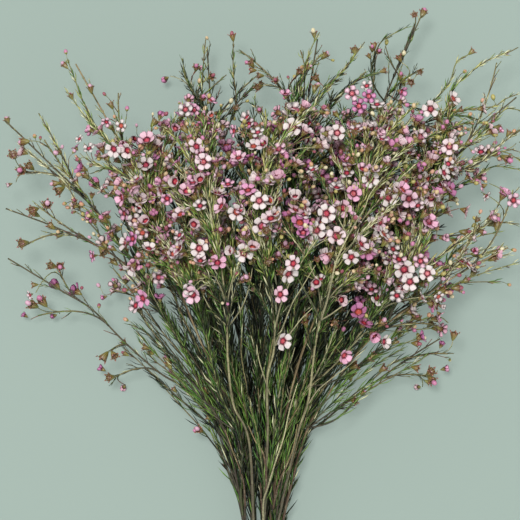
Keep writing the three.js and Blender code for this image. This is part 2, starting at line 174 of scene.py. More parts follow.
# %% The lowest flowers, as (x, y) where they rest on the surface and (x, y, z) above it
LOWER_FLOWERS = [
    (-58, 402), (-42, 390), (-66, 386, 13), (-34, 420, 14), (-72, 446, 16), (-47, 454, 15), (-22, 330),
    (-42, 316, 10), (-8, 304, 10), (-34, 350, 24), (106, 405), (90, 399), (114, 388, 13), (80, 416, 14),
    (42, 344), (64, 330), (34, 310, 10), (74, 356, 24), (-104, 214), (-120, 228, 17), (118, 214),
    (137, 228, 16), (-178, 268, 12), (-156, 268, 14), (134, 246, 26), (-118, 282, 24), (-102, 294, 24),
    (178, 386, 34), (194, 398, 42), (-188, 366, 38),
]

# %% The bells at the ends of the thin twigs, as (x, y, z)
BELLS = [
    (-173, 277, 30), (-165, 280, 28), (-115, 222, 30), (-109, 238, 46), (-119, 236, 44), (-150, 305, 48),
    (-158, 306, 42), (-177, 397, 60), (-184, 388, 62), (-173, 380, 56), (-178, 376, 60), (-170, 346, 66),
    (-158, 351, 69), (-179, 322, 50), (-151, 360, 66), (-116, 315, 64), (-3, 446, 58), (-4, 437, 66),
    (-9, 450, 56), (28, 449, 70), (35, 452, 72), (39, 444, 76), (82, 468, 42), (87, 465, 46),
    (110, 441, 56), (117, 449, 52), (101, 461, 46), (-49, 454, 36), (-37, 447, 36), (10, 442, 74),
    (174, 338, 60), (182, 384, 60), (127, 227, 28), (128, 219, 24), (143, 256, 44),
]

# %% [markdown]
# ## Placing things in metres
# The plan counts from the middle of the cut ends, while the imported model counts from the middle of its
# footprint. The rubber band has a known place in both, so the step between them is measured on it.

# %% From plan millimetres to model metres
BAND_BOX = np.array(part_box("tie_band"))
SHIFT = BAND_BOX.mean(axis=0) - np.array([0.0, BAND_Y, BUNDLE_HEIGHT]) * MM


def placed(points):
    """Plan points times a thousandth, moved by the step measured on the band."""
    return np.asarray(points, float) * MM + SHIFT


def unit(vectors):
    """Each vector divided by its own length."""
    return vectors / np.maximum(np.linalg.norm(vectors, axis=-1, keepdims=True), 1e-9)


def wander(i, k):
    """A repeatable number from 0 to 1: the fraction of a large multiple of sin(12.9898 i + 78.233 k)."""
    wave = np.sin(i * 12.9898 + k * 78.233) * 43758.5453
    return wave - np.floor(wave)


# The view from straight above: its width in pixels, a pixel's size, its left and lower edges, the
# height that it is measured at, all in plan millimetres, and the metres from there to the camera.
PICTURE = 520
MM_PER_PIXEL = 0.73
PICTURE_LEFT_X = -262 * MM_PER_PIXEL
PICTURE_BOTTOM_Y = 120.0
FOCUS_HEIGHT = 90.0
CAMERA_DISTANCE = 2.6

rng = np.random.default_rng(7)
print("shift", SHIFT)

# %% [markdown]
# ## Lines to grow along
# A stem's route is a Catmull-Rom curve: it passes through every point that was chosen for it, which a
# Bezier curve would not. Side sprays and twigs need only a start, a bend and an end, so a quadratic
# Bezier curve is enough for them.

# %% Curves as rows of points
def spline(points, count):
    """Through all the points: between two of them, the cubic whose slope at each point is half the
    step from the point before it to the point after it."""
    p = np.vstack([2 * points[0] - points[1], points, 2 * points[-1] - points[-2]])
    s = np.linspace(0, len(points) - 1, count)
    i = np.minimum(s.astype(int), len(points) - 2)
    f = (s - i)[:, None]
    a, b, c, d = p[i], p[i + 1], p[i + 2], p[i + 3]
    cubic = (3 * b - a - 3 * c + d) * f**3 + (2 * a - 5 * b + 4 * c - d) * f**2
    return 0.5 * (cubic + (c - a) * f + 2 * b)


def bezier(start, bend, end, count):
    """(1-t)^2 start + 2t(1-t) bend + t^2 end, for t from 0 to 1."""
    t = np.linspace(0, 1, count)[:, None]
    return (1 - t) ** 2 * start + 2 * t * (1 - t) * bend + t**2 * end


def along(line, distances):
    """The points at these distances from the line's start, and the line's heading at each."""
    steps = np.diff(line, axis=0)
    lengths = np.linalg.norm(steps, axis=1)
    reach = np.concatenate([[0.0], np.cumsum(lengths)])
    i = np.clip(np.searchsorted(reach, distances, side="right") - 1, 0, len(steps) - 1)
    share = (distances - reach[i]) / lengths[i]
    return line[i] + steps[i] * share[:, None], unit(steps[i])


def length_of(line):
    """The sum of the line's steps."""
    return np.linalg.norm(np.diff(line, axis=0), axis=1).sum()


NEARLY_WHOLE = 0.99999


def even(line, count):
    """The same line with its points spaced evenly."""
    return along(line, np.linspace(0, length_of(line) * NEARLY_WHOLE, count))[0]


def across(headings):
    """Two directions square to each heading and to each other, right-handed with it."""
    away = np.where(np.abs(headings[..., 2:3]) < 0.8, [[0.0, 0.0, 1.0]], [[1.0, 0.0, 0.0]])
    first = unit(np.cross(away, headings))
    return first, np.cross(headings, first)


FLOOR_EASE = 1.2 * MM


def above_floor(points):
    """Heights eased to stay above the surface: half of z plus the root of z^2 plus a small square."""
    points = np.array(points)
    z = points[..., 2]
    points[..., 2] = 0.5 * (z + np.sqrt(z * z + FLOOR_EASE**2))
    return points


# %% Limbs: a line with a radius at each end, its stem's number and its kind
def limb(line, start_radius, end_radius, owner, kind, taper=1.0):
    """One woody limb kept above the surface. Its radius runs from start to end with the share of its
    length to the power of its taper."""
    share = np.linspace(0, 1, len(line)) ** taper
    radii = (start_radius + (end_radius - start_radius) * share) * MM
    return {"line": above_floor(line), "radii": radii, "owner": owner, "kind": kind}


def stem_line(index, name):
    """The cut end, the slot inside the band and the route, joined by a spline."""
    ring, slot, _, route = STEMS[name]
    angle = np.radians(slot)
    side = RING_RADIUS[ring] * np.cos(angle)
    up = RING_RADIUS[ring] * np.sin(angle)
    cut_y = CUT_END_Y - CUT_END_UNEVENNESS * wander(index, 1)
    cut = (side * CUT_END_SPLAY, cut_y, BUNDLE_HEIGHT + up * CUT_END_SPLAY)
    return placed([cut, (side, BAND_Y, BUNDLE_HEIGHT + up), *route])


SPLINE_POINTS = 400
STEM_POINTS = 90

stems = []
for index, name in enumerate(STEM_NAMES):
    line = even(spline(stem_line(index, name), SPLINE_POINTS), STEM_POINTS)
    stems.append(limb(line, STEMS[name][2] / 2, STEM_TIP_RADIUS, index, "stem", STEM_TAPER))
print("stems", len(stems), "longest", round(max(length_of(s["line"]) for s in stems), 3), "m")

# %% Sprays leave their stem along its own direction and bend away to their tip
SPRAY_SHARE = 0.62
SPRAY_THINNEST = 0.75
SPRAY_TIP_RADIUS = 0.5
SPRAY_SWEEP = 0.42
SPRAY_POINTS = 20


def spray_limb(owner, leaves_at, tip):
    """A Bezier from the stem's middle, by a bend on the stem's heading, to the tip."""
    line = stems[owner]["line"]
    nearest = int(np.argmax(line[:, 1] >= placed((0, leaves_at, 0))[1]))
    start = line[nearest]
    heading = unit(line[nearest + 1] - start)
    end = placed(tip)
    bend = start + heading * np.linalg.norm(end - start) * SPRAY_SWEEP
    radius = max(SPRAY_SHARE * stems[owner]["radii"][nearest] / MM, SPRAY_THINNEST)
    line = bezier(start, bend, end, SPRAY_POINTS)
    return limb(line, radius, SPRAY_TIP_RADIUS, owner, "spray") | {"curve": (start, bend, end)}


sprays = []
for owner, name in enumerate(STEM_NAMES):
    for leaves_at, tip in SPRAYS[name]:
        sprays.append(spray_limb(owner, leaves_at, tip))
print("sprays", len(sprays))

# %% [markdown]
# ## Flower places
# Every flower of the plan hangs from the spray that passes nearest to it. Its stalk leaves the spray
# a little before that nearest point, because twigs point forwards. A flower faces partly along its
# stalk and partly out of the bunch, where the light is.

# %% Heights on the dome, and the nearest spray
DOME = {"edge": 52.0, "crest": 104.0, "y": 345.0, "before": 140.0, "after": 175.0, "half_width": 190.0}


def dome_height(x, y):
    """The edge height plus the crest times a parabola along y and a parabola along x."""
    u = (y - DOME["y"]) / np.where(y < DOME["y"], DOME["before"], DOME["after"])
    v = x / DOME["half_width"]
    return DOME["edge"] + DOME["crest"] * np.clip(1 - u * u, 0, None) * np.clip(1 - v * v, 0, None)


# Heads may hang from the last four fifths of a spray.
SPRAY_STEPS = 20
FIRST_STEP = 4
SPRAY_SHARES = np.arange(FIRST_STEP, SPRAY_STEPS + 1) / SPRAY_STEPS
SPRAY_PLACES = np.array([bezier(*s["curve"], SPRAY_STEPS + 1)[FIRST_STEP:] for s in sprays])


def nearest_spray(place):
    """The spray and the share of its length where it passes nearest to a place."""
    gaps = np.linalg.norm(SPRAY_PLACES - place, axis=-1)
    spray, step = np.unravel_index(np.argmin(gaps), gaps.shape)
    return int(spray), float(SPRAY_SHARES[step])


def facing(place, stalk_end, index):
    """0.65 of the stalk's direction, 0.5 of the way out of the bunch and 1.15 of a direction of its
    own. The way out runs from the middle axis, with half its sideways share."""
    middle = np.array([SHIFT[0], 0.0, DOME["edge"] * MM])
    outward = unit((place - middle) * [0.5, 0.0, 1.0])
    own = np.array([wander(index, 3), wander(index, 4), wander(index, 5)]) - 0.5
    return unit(0.65 * stalk_end + 0.5 * outward + 1.15 * own)


# %% Where the bunch is full: y, left edge and right edge in plan millimetres
FULL_OUTLINE = np.array([
    (128, -17, 19), (171, -27, 27), (189, -29, 34), (219, -35, 50), (240, -51, 68), (281, -82, 96),
    (317, -93, 127), (345, -107, 140), (385, -113, 148), (412, -86, 146), (428, -52, 136)], float)
CROWN_Y = 430.0
OUTSIDE_DEPTH = 30.0


def outline_at(y):
    """Left and right edge at heights along the bunch, between the chosen rows."""
    rows = FULL_OUTLINE[:, 0]
    return np.interp(y, rows, FULL_OUTLINE[:, 1]), np.interp(y, rows, FULL_OUTLINE[:, 2])


def outside(places):
    """0 where the bunch is full, rising to 1 over the first millimetres outside that outline."""
    x, y, _ = ((places - SHIFT) / MM).T
    left, right = outline_at(y)
    past = np.maximum(np.maximum(left - x, x - right), y - CROWN_Y)
    return np.clip(past / OUTSIDE_DEPTH, 0, 1)


# %% Heads: where each flower or bell sits, which way it faces, and the stalk that carries it
# A stalk leaves its spray this share of the spray's length before the nearest point, between a first
# and a last share, and runs on along the spray for half the way before it turns.
TWIG_BACK, TWIG_FIRST, TWIG_LAST, TWIG_SWEEP = 0.16, 0.2, 0.94, 0.5
STALK_RADII = (0.5, 0.36)
STALK_POINTS = 7

# Millimetres from a flower's or a bell's middle to its foot, and from its middle to a petal's end.
HEAD_FOOT = 5.2
BELL_FOOT = 5.6
PETAL_REACH = 8.0

# The least size of each kind, and how much larger the largest is.
HEAD_SIZES = {"bell": (1.15, 0.26), "flower": (0.72, 0.26), "wide": (0.86, 0.2)}

# Heads shrink towards the crown, as the share at two values of y, and flowers also outside the outline.
CROWN_SHRINK = {"flower": ([320, 400], [1.0, 0.86]), "bell": ([410, 450], [1.0, 0.7])}
TIP_SHRINK = 0.36

# Four stages from wide open to nearly shut, their shares, and the height in metres below which the
# flowers stay nearly shut.
WIDE_STAGE, SHUT_STAGE = 0, 3
OPENNESS = (0.28, 0.32, 0.24, 0.16)
SHUT_BELOW = 0.036

twigs = []
heads = []


def add_head(place, index, foot, kind, rests=False, wide=False):
    """A head at a place, with its Bezier stalk from the nearest spray. A bell points along its stalk
    and a wide open flower looks up. A resting one is lowered until a petal touches the surface."""
    spray, share = nearest_spray(place)
    start, bend, end = sprays[spray]["curve"]
    t = min(max(share - TWIG_BACK, TWIG_FIRST), TWIG_LAST)
    root = (1 - t) ** 2 * start + 2 * t * (1 - t) * bend + t * t * end
    heading = unit((1 - t) * (bend - start) + t * (end - bend))
    turn = root + heading * np.linalg.norm(place - root) * TWIG_SWEEP
    face = facing(place, unit(place - turn), index)
    if kind == "bell":
        face = unit(0.9 * unit(place - turn) + 0.3 * face)
    if wide:
        face = unit(0.35 * face + [0.0, -0.12, 0.9])
    if rests:
        place = place + [0, 0, (PETAL_REACH * np.sqrt(1 - face[2] ** 2) - PETAL_REACH) * MM]
    base = place - face * foot * MM
    owner = sprays[spray]["owner"]
    twigs.append(limb(bezier(root, turn, base, STALK_POINTS), *STALK_RADII, owner, "stalk"))
    least, more = HEAD_SIZES["wide" if wide else kind]
    size = least + more * wander(index, 6)
    size *= np.interp((place[1] - SHIFT[1]) / MM, *CROWN_SHRINK[kind])
    if kind == "flower":
        size *= 1 - TIP_SHRINK * float(outside(place))
    if wide:
        stage = WIDE_STAGE
    elif rests or place[2] < SHUT_BELOW:
        stage = SHUT_STAGE
    else:
        stage = int(rng.choice(len(OPENNESS), p=OPENNESS))
    heads.append({"place": place, "face": face, "owner": owner, "kind": kind, "size": size,
                  "stage": stage, "wide": wide})


# %% The planned heads
BURIED = 12.0
BUD_IN_BELL = 0.5
BUD_DEPTH = 1.2

for index, entry in enumerate(LOWER_FLOWERS):
    rests = len(entry) == 2
    spot = placed((*entry, PETAL_REACH) if rests else entry)
    add_head(spot, index, HEAD_FOOT, "flower", rests)
for index, (x, y) in enumerate(UPPER_FLOWERS):
    height = dome_height(x, y) - BURIED * wander(index, 2)
    add_head(placed((x, y, height)), index, HEAD_FOOT, "flower", wide=(x, y) in WIDE_OPEN)
for index, entry in enumerate(BELLS):
    add_head(placed(entry), index, BELL_FOOT, "bell")
    if wander(index, 7) < BUD_IN_BELL:
        bell = heads[-1]
        inside = bell["place"] - bell["face"] * BUD_DEPTH * MM
        heads.append(bell | {"place": inside, "kind": "bud", "pink": True})
print("planned heads", len(heads))

# %% [markdown]
# ## Growing the rest
# The plan holds the flowers and sprays that give the bunch its outline. A real bunch is far fuller:
# thin stems run between the thick ones, and leafy branches fill every gap up to the light. So places
# are scattered evenly over the full part of the bunch, at several depths, and each is reached by a
# branch from whichever stem can turn to it most gently. That is how a shrub fills its own gaps.

# %% Thin stems that fork from the thick ones above the band
THIN_STEM = {"neighbours": (1, 2, 3), "forks": (0.13, 0.32), "ends": (0.5, 0.82), "lift": (-5.0, 4.0),
             "share": (0.3, 0.7), "spread": 0.16, "start": (0.75, 1.2), "end": 0.42}
FAN_POINT = 60


def thin_stem(left, right):
    """The left stem's line, drawn over to a line between both stems by a smooth step that starts at
    the fork."""
    a, b = stems[left]["line"], stems[right]["line"]
    t = np.linspace(0, 1, len(a))
    fork = rng.uniform(*THIN_STEM["forks"])
    f = np.clip((t - fork) / THIN_STEM["spread"], 0, 1)
    f = (f * f * (3 - 2 * f))[:, None]
    share = rng.uniform(*THIN_STEM["share"])
    lift = [0, 0, rng.uniform(*THIN_STEM["lift"]) * MM]
    line = a * (1 - f) + (a * share + b * (1 - share) + lift) * f
    line = line[(t > fork) & (t < rng.uniform(*THIN_STEM["ends"]))]
    return limb(line, rng.uniform(*THIN_STEM["start"]), THIN_STEM["end"], left, "thin")


order = sorted(range(len(stems)), key=lambda k: stems[k]["line"][FAN_POINT, 0])
thin_stems = [thin_stem(*rng.permutation(pair)) for step in THIN_STEM["neighbours"]
              for pair in zip(order[:-step], order[step:])]
print("thin stems", len(thin_stems))

# %% Places scattered over the full part, and the box that shoots stay in
SCATTER_X = (-126, 180)
LEAST_HEIGHT = 5.0


def scattered(step, first_y, last_y, lowest, highest):
    """Places on a grid of one step, each moved by up to half a step, at heights between two shares
    of the dome."""
    x, y = np.meshgrid(np.arange(*SCATTER_X, step), np.arange(first_y, last_y, step))
    x = x.ravel() + rng.uniform(-0.5, 0.5, x.size) * step
    y = y.ravel() + rng.uniform(-0.5, 0.5, y.size) * step
    left, right = outline_at(y)
    full = (x > left) & (x < right)
    x, y = x[full], y[full]
    z = dome_height(x, y) * rng.uniform(lowest, highest, len(x))
    return placed(np.stack([x, y, np.maximum(z, LEAST_HEIGHT)], -1))


LOW_LIMIT = np.array(CAD_BOX[0]) + [0.004, 0.0, 0.004]
HIGH_LIMIT = np.array(CAD_BOX[1]) + [-0.004, 0.005, -0.002]


def within(point):
    """A shoot's end kept inside the bunch's own box."""
    return np.clip(point, LOW_LIMIT, HIGH_LIMIT)


# %% Branches to those places
HOSTS = stems + thin_stems
HOST_POINTS = np.concatenate([h["line"][:-2] for h in HOSTS])
HOST_HEADINGS = np.concatenate([unit(np.diff(h["line"], axis=0))[:-1] for h in HOSTS])
HOST_OWNERS = np.concatenate([np.full(len(h["line"]) - 2, h["owner"]) for h in HOSTS])
REACH_WEIGHT = 0.35
BRANCH_SWEEP = 0.45
BRANCH_TIP_RADIUS = 0.32
BRANCH_POINTS = 10


def branch_to(place, reach, radius, kind):
    """A Bezier from the host point whose heading points best at the place, at about a given reach."""
    gaps = place - HOST_POINTS
    lengths = np.linalg.norm(gaps, axis=1)
    straightness = (gaps * HOST_HEADINGS).sum(1) / lengths
    best = int(np.argmax(straightness - np.abs(lengths / (reach * MM) - 1) * REACH_WEIGHT))
    bend = HOST_POINTS[best] + HOST_HEADINGS[best] * lengths[best] * BRANCH_SWEEP
    line = bezier(HOST_POINTS[best], bend, within(place), BRANCH_POINTS)
    return limb(line, radius, BRANCH_TIP_RADIUS, int(HOST_OWNERS[best]), kind)


# %% The layers of branches, from the dark core up to the flowers
EVERYWHERE = (-200, 200)
LAYERS = [
    # kind, reach and radius, the grid's step, first and last y, shares of the dome, first and last x
    ("deep", 62, 0.5, 15.0, (176, 425), (0.08, 0.36), EVERYWHERE),
    ("deep", 54, 0.5, 12.5, (190, 400), (0.04, 0.34), (-50, 74)),
    ("fill", 66, 0.6, 16.0, (170, 300), (0.3, 0.6), EVERYWHERE),
    ("top fill", 66, 0.5, 10.8, (300, 428), (0.42, 1.0), EVERYWHERE),
    ("top fill", 60, 0.5, 12.0, (285, 410), (0.35, 0.8), (62, 200)),
]

branches = []
for kind, reach, radius, step, rows, heights, (first_x, last_x) in LAYERS:
    for place in scattered(step, *rows, *heights):
        if first_x < (place[0] - SHIFT[0]) / MM < last_x:
            branches.append(branch_to(place, reach, radius, kind))
deep = [b for b in branches if b["kind"] == "deep"]
filling = [b for b in branches if b["kind"] != "deep"]
print("deep branches", len(deep), "filling branches", len(filling))


# %% Side shoots along a limb
# Shoots get shorter by these shares towards the parent's end and outside the full outline.
SHOOT_END_SHRINK = 0.45
SHOOT_OUTSIDE_SHRINK = 0.4
TURN_SPREAD = 0.35
ANGLE_SPREAD = 0.15
SHOOT_TIP_RADIUS = 0.3
SHOOT_POINTS = 6


def side_shoots(parent, first, last, spacing, lengths, angle, radius, kind, chance):
    """Shoots at even steps between two shares of the parent. Each leaves at an angle to it, turned a
    quarter round from the one before, and halfway it bends back towards the parent's heading."""
    total = length_of(parent["line"])
    stops = np.arange(total * first, total * last, spacing * MM)
    stops = stops[rng.uniform(0, 1, len(stops)) < chance]
    if not len(stops):
        return []
    roots, headings = along(parent["line"], stops)
    one, two = across(headings)
    turns = np.arange(len(stops)) * np.pi / 2 + rng.uniform(0, 2 * np.pi)
    turns = turns + rng.normal(0, TURN_SPREAD, len(stops))
    sideways = one * np.cos(turns)[:, None] + two * np.sin(turns)[:, None]
    angles = np.radians(rng.normal(angle, ANGLE_SPREAD * angle, len(stops)))[:, None]
    out = headings * np.cos(angles) + sideways * np.sin(angles)
    shrink = (1 - SHOOT_END_SHRINK * (stops / total)) * (1 - SHOOT_OUTSIDE_SHRINK * outside(roots))
    half = (rng.uniform(*lengths, len(stops)) * shrink * MM)[:, None] * 0.5
    bends = roots + out * half
    ends = bends + unit(out + headings * 0.5 + rng.normal(0, 0.12, out.shape)) * half
    return [limb(bezier(root, bend, within(end), SHOOT_POINTS), radius, SHOOT_TIP_RADIUS,
                 parent["owner"], kind)
            for root, bend, end in zip(roots, bends, ends)]


# %% Single shoots that stray out of the outline, as the (x, y) they cover from above
STRAYS = [
    # how leafy, first and last height, then the places
    (0.0, 20, 24, [(-27, 160), (-34, 176), (-39, 188)]),
    (0.2, 22, 20, [(-36, 176), (-47, 190), (-58, 202), (-78, 224)]),
    (0.8, 34, 30, [(-32, 186), (-40, 198), (-58, 216), (-68, 226)]),
    (0.2, 28, 36, [(-26, 166), (-34, 190), (-45, 217), (-58, 227), (-68, 235)]),
    (1.0, 84, 72, [(-118, 402), (-128, 413), (-136, 424), (-143, 434)]),
    (1.0, 78, 66, [(-124, 412), (-131, 426), (-136, 440), (-142, 456)]),
    (1.0, 68, 66, [(-148, 390), (-155, 403), (-163, 417)]),
    (1.0, 58, 54, [(-150, 372), (-161, 381), (-177, 394)]),
    (0.3, 60, 64, [(-98, 300), (-119, 329), (-131, 343), (-141, 362), (-148, 366)]),
    (0.3, 40, 44, [(-24, 408), (-19, 426), (-21, 448), (-21, 470)]),
    (0.2, 42, 44, [(-20, 422), (-13, 430), (-3, 437)]),
    (0.2, 42, 46, [(-20, 429), (-12, 437), (-3, 445)]),
    (0.4, 30, 34, [(-44, 426), (-43, 450), (-41, 472)]),
    (1.0, 34, 38, [(-42, 420), (-50, 432), (-56, 443), (-58, 457)]),
    (0.1, 34, 38, [(-43, 430), (-34, 438), (-26, 445)]),
    (1.0, 74, 64, [(25, 426), (28, 438), (35, 462), (42, 476)]),
    (1.0, 98, 76, [(34, 416), (50, 438), (64, 454), (75, 469)]),
    (1.0, 92, 70, [(40, 414), (58, 432), (74, 443), (86, 447)]),
    (1.0, 94, 78, [(30, 418), (46, 436), (60, 448), (68, 461)]),
    (1.0, 38, 44, [(82, 458), (88, 470), (106, 480)]),
    (0.0, 28, 34, [(99, 446), (94, 454), (90, 466)]),
    (0.2, 68, 60, [(120, 420), (136, 438), (142, 454), (151, 460)]),
    (1.0, 58, 50, [(144, 440), (162, 454), (179, 461), (187, 465)]),
    (0.6, 58, 56, [(168, 410), (178, 420), (189, 419)]),
    (1.0, 60, 56, [(136, 416), (152, 414), (172, 405)]),
    (0.7, 60, 54, [(166, 386), (180, 399), (190, 406)]),
    (0.5, 50, 46, [(92, 262), (128, 285), (152, 297), (187, 308)]),
    (0.8, 58, 56, [(104, 284), (130, 303), (150, 314), (168, 319)]),
    (1.0, 62, 60, [(124, 308), (145, 324), (166, 338), (175, 355), (183, 359)]),
    (0.5, 48, 46, [(88, 260), (106, 275), (128, 280)]),
    (0.4, 44, 40, [(86, 244), (106, 262), (128, 268), (136, 264)]),
    (0.2, 36, 30, [(74, 236), (100, 256), (124, 260)]),
    (1.0, 40, 34, [(-42, 203), (-60, 222), (-78, 242), (-92, 258)]),
    (1.0, 44, 40, [(-50, 215), (-66, 236), (-84, 256), (-97, 263)]),
    (0.8, 48, 42, [(-60, 232), (-74, 250), (-86, 266), (-88, 274)]),
    (1.0, 40, 40, [(52, 206), (66, 220), (84, 234), (104, 246)]),
    (1.0, 46, 44, [(56, 216), (72, 232), (92, 244), (112, 252)]),
    (0.8, 36, 34, [(60, 206), (80, 222), (98, 236), (118, 240)]),
    (1.0, 50, 46, [(64, 228), (80, 240), (96, 250), (110, 262)]),
    (0.5, 56, 54, [(150, 378), (161, 384), (175, 389), (188, 383)]),
    (0.9, 54, 52, [(144, 364), (157, 371), (169, 378), (188, 376)]),
    (0.4, 56, 54, [(156, 384), (167, 390), (178, 397), (188, 404)]),
    (0.2, 56, 54, [(150, 330), (164, 335), (176, 337), (188, 336)]),
    (0.5, 56, 54, [(146, 320), (158, 327), (172, 330)]),
    (0.4, 46, 44, [(104, 276), (123, 287), (146, 293), (174, 294)]),
    (1.0, 56, 52, [(112, 290), (132, 300), (156, 308), (180, 314)]),
    (0.9, 58, 54, [(110, 292), (129, 303), (154, 312), (179, 320)]),
    (1.0, 70, 66, [(20, 418), (26, 436), (34, 450), (44, 457)]),
    (1.0, 66, 64, [(22, 414), (24, 432), (30, 446), (32, 452)]),
    (1.0, 76, 82, [(-95, 330), (-102, 341), (-107, 354), (-116, 360), (-126, 370), (-135, 384)]),
    (1.0, 84, 84, [(-90, 326), (-95, 340), (-97, 357), (-107, 373), (-116, 384)]),
    (1.0, 92, 88, [(-78, 338), (-84, 354), (-93, 370), (-98, 378), (-102, 388)]),
    (1.0, 90, 80, [(-69, 331), (-80, 346), (-88, 362), (-98, 386), (-105, 394), (-116, 398)]),
    (0.9, 70, 66, [(-104, 320), (-116, 336), (-127, 346), (-138, 352)]),
    (0.7, 66, 62, [(-112, 334), (-128, 356), (-142, 372), (-152, 380)]),
    (0.8, 64, 58, [(122, 411), (134, 415), (146, 419), (159, 421), (170, 422), (177, 427), (187, 431)]),
    (1.0, 76, 70, [(118, 398), (132, 404), (145, 409), (154, 410)]),
    (1.0, 74, 66, [(124, 380), (140, 390), (152, 396), (160, 398)]),
    (0.3, 74, 72, [(31, 444), (31, 452), (28, 463)]),
    (0.3, 74, 72, [(32, 446), (37, 453), (44, 460)]),
    (0.0, 36, 44, [(108, 470), (114, 483), (118, 492)]),
    (0.0, 36, 42, [(110, 476), (112, 483), (112, 491)]),
    (0.2, 24, 22, [(-26, 160), (-33, 178), (-42, 200), (-52, 214), (-62, 225)]),
    (1.0, 24, 26, [(-37, 189), (-49, 199), (-63, 211), (-75, 222), (-89, 235), (-101, 246)]),
    (0.9, 30, 34, [(-36, 196), (-46, 207), (-57, 219), (-69, 229), (-80, 238), (-90, 252)]),
    (0.9, 40, 38, [(62, 200), (74, 212), (88, 221), (104, 230), (122, 241)]),
]

# %% Bare stems and arms that lie in front, in the same way, by their bark
FRONT_PALE = [
    # first and last radius, first and last height, then the places
    (0.85, 0.3, 34, 78, [(1, 112), (1, 133), (4, 143), (10, 163), (16, 181), (20, 200), (26, 220)]),
    (0.6, 0.3, 72, 84, [(6, 211), (2, 223), (-2, 236), (-4, 248)]),
    (0.6, 0.3, 70, 86, [(12, 209), (15, 222), (20, 233), (24, 246)]),
    (0.6, 0.3, 64, 68, [(34, 205), (41, 215), (53, 225), (61, 231), (72, 240)]),
    (0.6, 0.3, 94, 112, [(-24, 262), (-18, 270), (-13, 279), (-9, 292), (-7, 304)]),
    (0.6, 0.3, 94, 104, [(-24, 260), (-30, 266), (-37, 273), (-43, 284)]),
    (0.7, 0.3, 98, 126, [(9, 247), (14, 258), (22, 278), (28, 288), (39, 306)]),
    (0.6, 0.3, 98, 110, [(9, 247), (20, 256), (28, 266), (37, 275)]),
    (0.85, 0.6, 106, 150, [(43, 266), (48, 282), (51, 296), (55, 311), (63, 328)]),
    (0.6, 0.25, 150, 153, [(63, 328), (69, 338), (75, 348), (79, 358), (88, 370)]),
    (0.6, 0.3, 150, 153, [(63, 328), (59, 334), (56, 340)]),
    (0.7, 0.3, 106, 114, [(43, 266), (50, 270), (57, 275), (66, 281)]),
]
FRONT_GREEN = [
    (0.85, 0.4, 106, 140, [(43, 266), (36, 279), (27, 295), (18, 310), (9, 321)]),
    (0.6, 0.4, 74, 88, [(41, 225), (47, 235), (53, 245), (59, 253)]),
]
FRONT_BROWN = [
    (1.2, 0.3, 40, 58, [(3, 140), (3, 153), (1, 168), (-5, 178), (-10, 189)]),
    (0.8, 0.3, 30, 44, [(-12, 130), (-14, 150), (-22, 172), (-27, 186)]),
    (0.9, 0.3, 32, 56, [(8, 128), (12, 146), (22, 170), (26, 190)]),
]


SIGHTED_POINTS = 22


def sighted(first_z, last_z, places):
    """A spline through the places, with heights in even steps, moved along the lines of sight so that
    each point still covers its place: out from the view's middle below the focus, in above it."""
    points = np.array([(x, y, 0.0) for x, y in places])
    points[:, 2] = np.linspace(first_z, last_z, len(points))
    reach = (CAMERA_DISTANCE + (FOCUS_HEIGHT - points[:, 2:]) * MM) / CAMERA_DISTANCE
    middle = np.array([PICTURE_LEFT_X, PICTURE_BOTTOM_Y]) + PICTURE * MM_PER_PIXEL / 2
    points[:, :2] = middle + (points[:, :2] - middle) * reach
    return within(spline(placed(points), SIGHTED_POINTS))


def owner_of(line):
    """The stem that passes nearest to a line's start."""
    return int(HOST_OWNERS[np.argmin(np.linalg.norm(HOST_POINTS - line[0], axis=1))])


LEAD_IN = 32.0
LEAD_IN_WEIGHT = 0.5
LEAD_IN_POINTS = 8
STRAY_RADII = (0.65, 0.36)


def rooted(line):
    """The line with a Bezier before it, from the host point that lies straightest behind its start,
    and that host's stem. The Bezier bends halfway."""
    heading = unit(line[1] - line[0])
    gaps = line[0] - HOST_POINTS
    lengths = np.linalg.norm(gaps, axis=1)
    straightness = (gaps @ heading) / lengths
    best = int(np.argmax(straightness - np.abs(lengths / (LEAD_IN * MM) - 1) * LEAD_IN_WEIGHT))
    bend = line[0] - heading * lengths[best] * 0.5
    lead = bezier(HOST_POINTS[best], bend, line[0], LEAD_IN_POINTS)
    return np.vstack([lead[:-1], line]), int(HOST_OWNERS[best])


strays = []
for leafy, first_z, last_z, places in STRAYS:
    line, owner = rooted(sighted(first_z, last_z, places))
    strays.append(limb(line, *STRAY_RADII, owner, "stray") | {"leafy": leafy})
fronts = []
for kind, entries in (("pale", FRONT_PALE), ("green", FRONT_GREEN), ("brown", FRONT_BROWN)):
    for first_radius, last_radius, first_z, last_z, places in entries:
        line = sighted(first_z, last_z, places)
        fronts.append(limb(line, first_radius, last_radius, owner_of(line), kind))
print("strays", len(strays), "front limbs", len(fronts))

# %% Short twigs along the sprays, the upper stems, the filling branches and the strays
BRANCH_SHOOTS = (0.45, 0.97, 11.0, (9, 20), 38, 0.36, "twig", 0.75)
SHOOTS = {
    # first and last share, spacing, lengths, angle, radius, kind and chance, by the parent's kind
    "spray": (0.22, 0.98, 9.0, (16, 30), 36, 0.42, "twig", 0.8),
    "stem": (0.66, 0.985, 10.0, (18, 38), 32, 0.46, "twig", 0.8),
    "fill": BRANCH_SHOOTS,
    "top fill": BRANCH_SHOOTS,
    "stray": (0.3, 0.97, 8.0, (8, 17), 24, 0.34, "outer twig", 0.75),
}
for parent in (*sprays, *stems, *filling, *strays):
    twigs += side_shoots(parent, *SHOOTS[parent["kind"]])
print("twigs and stalks", len(twigs))


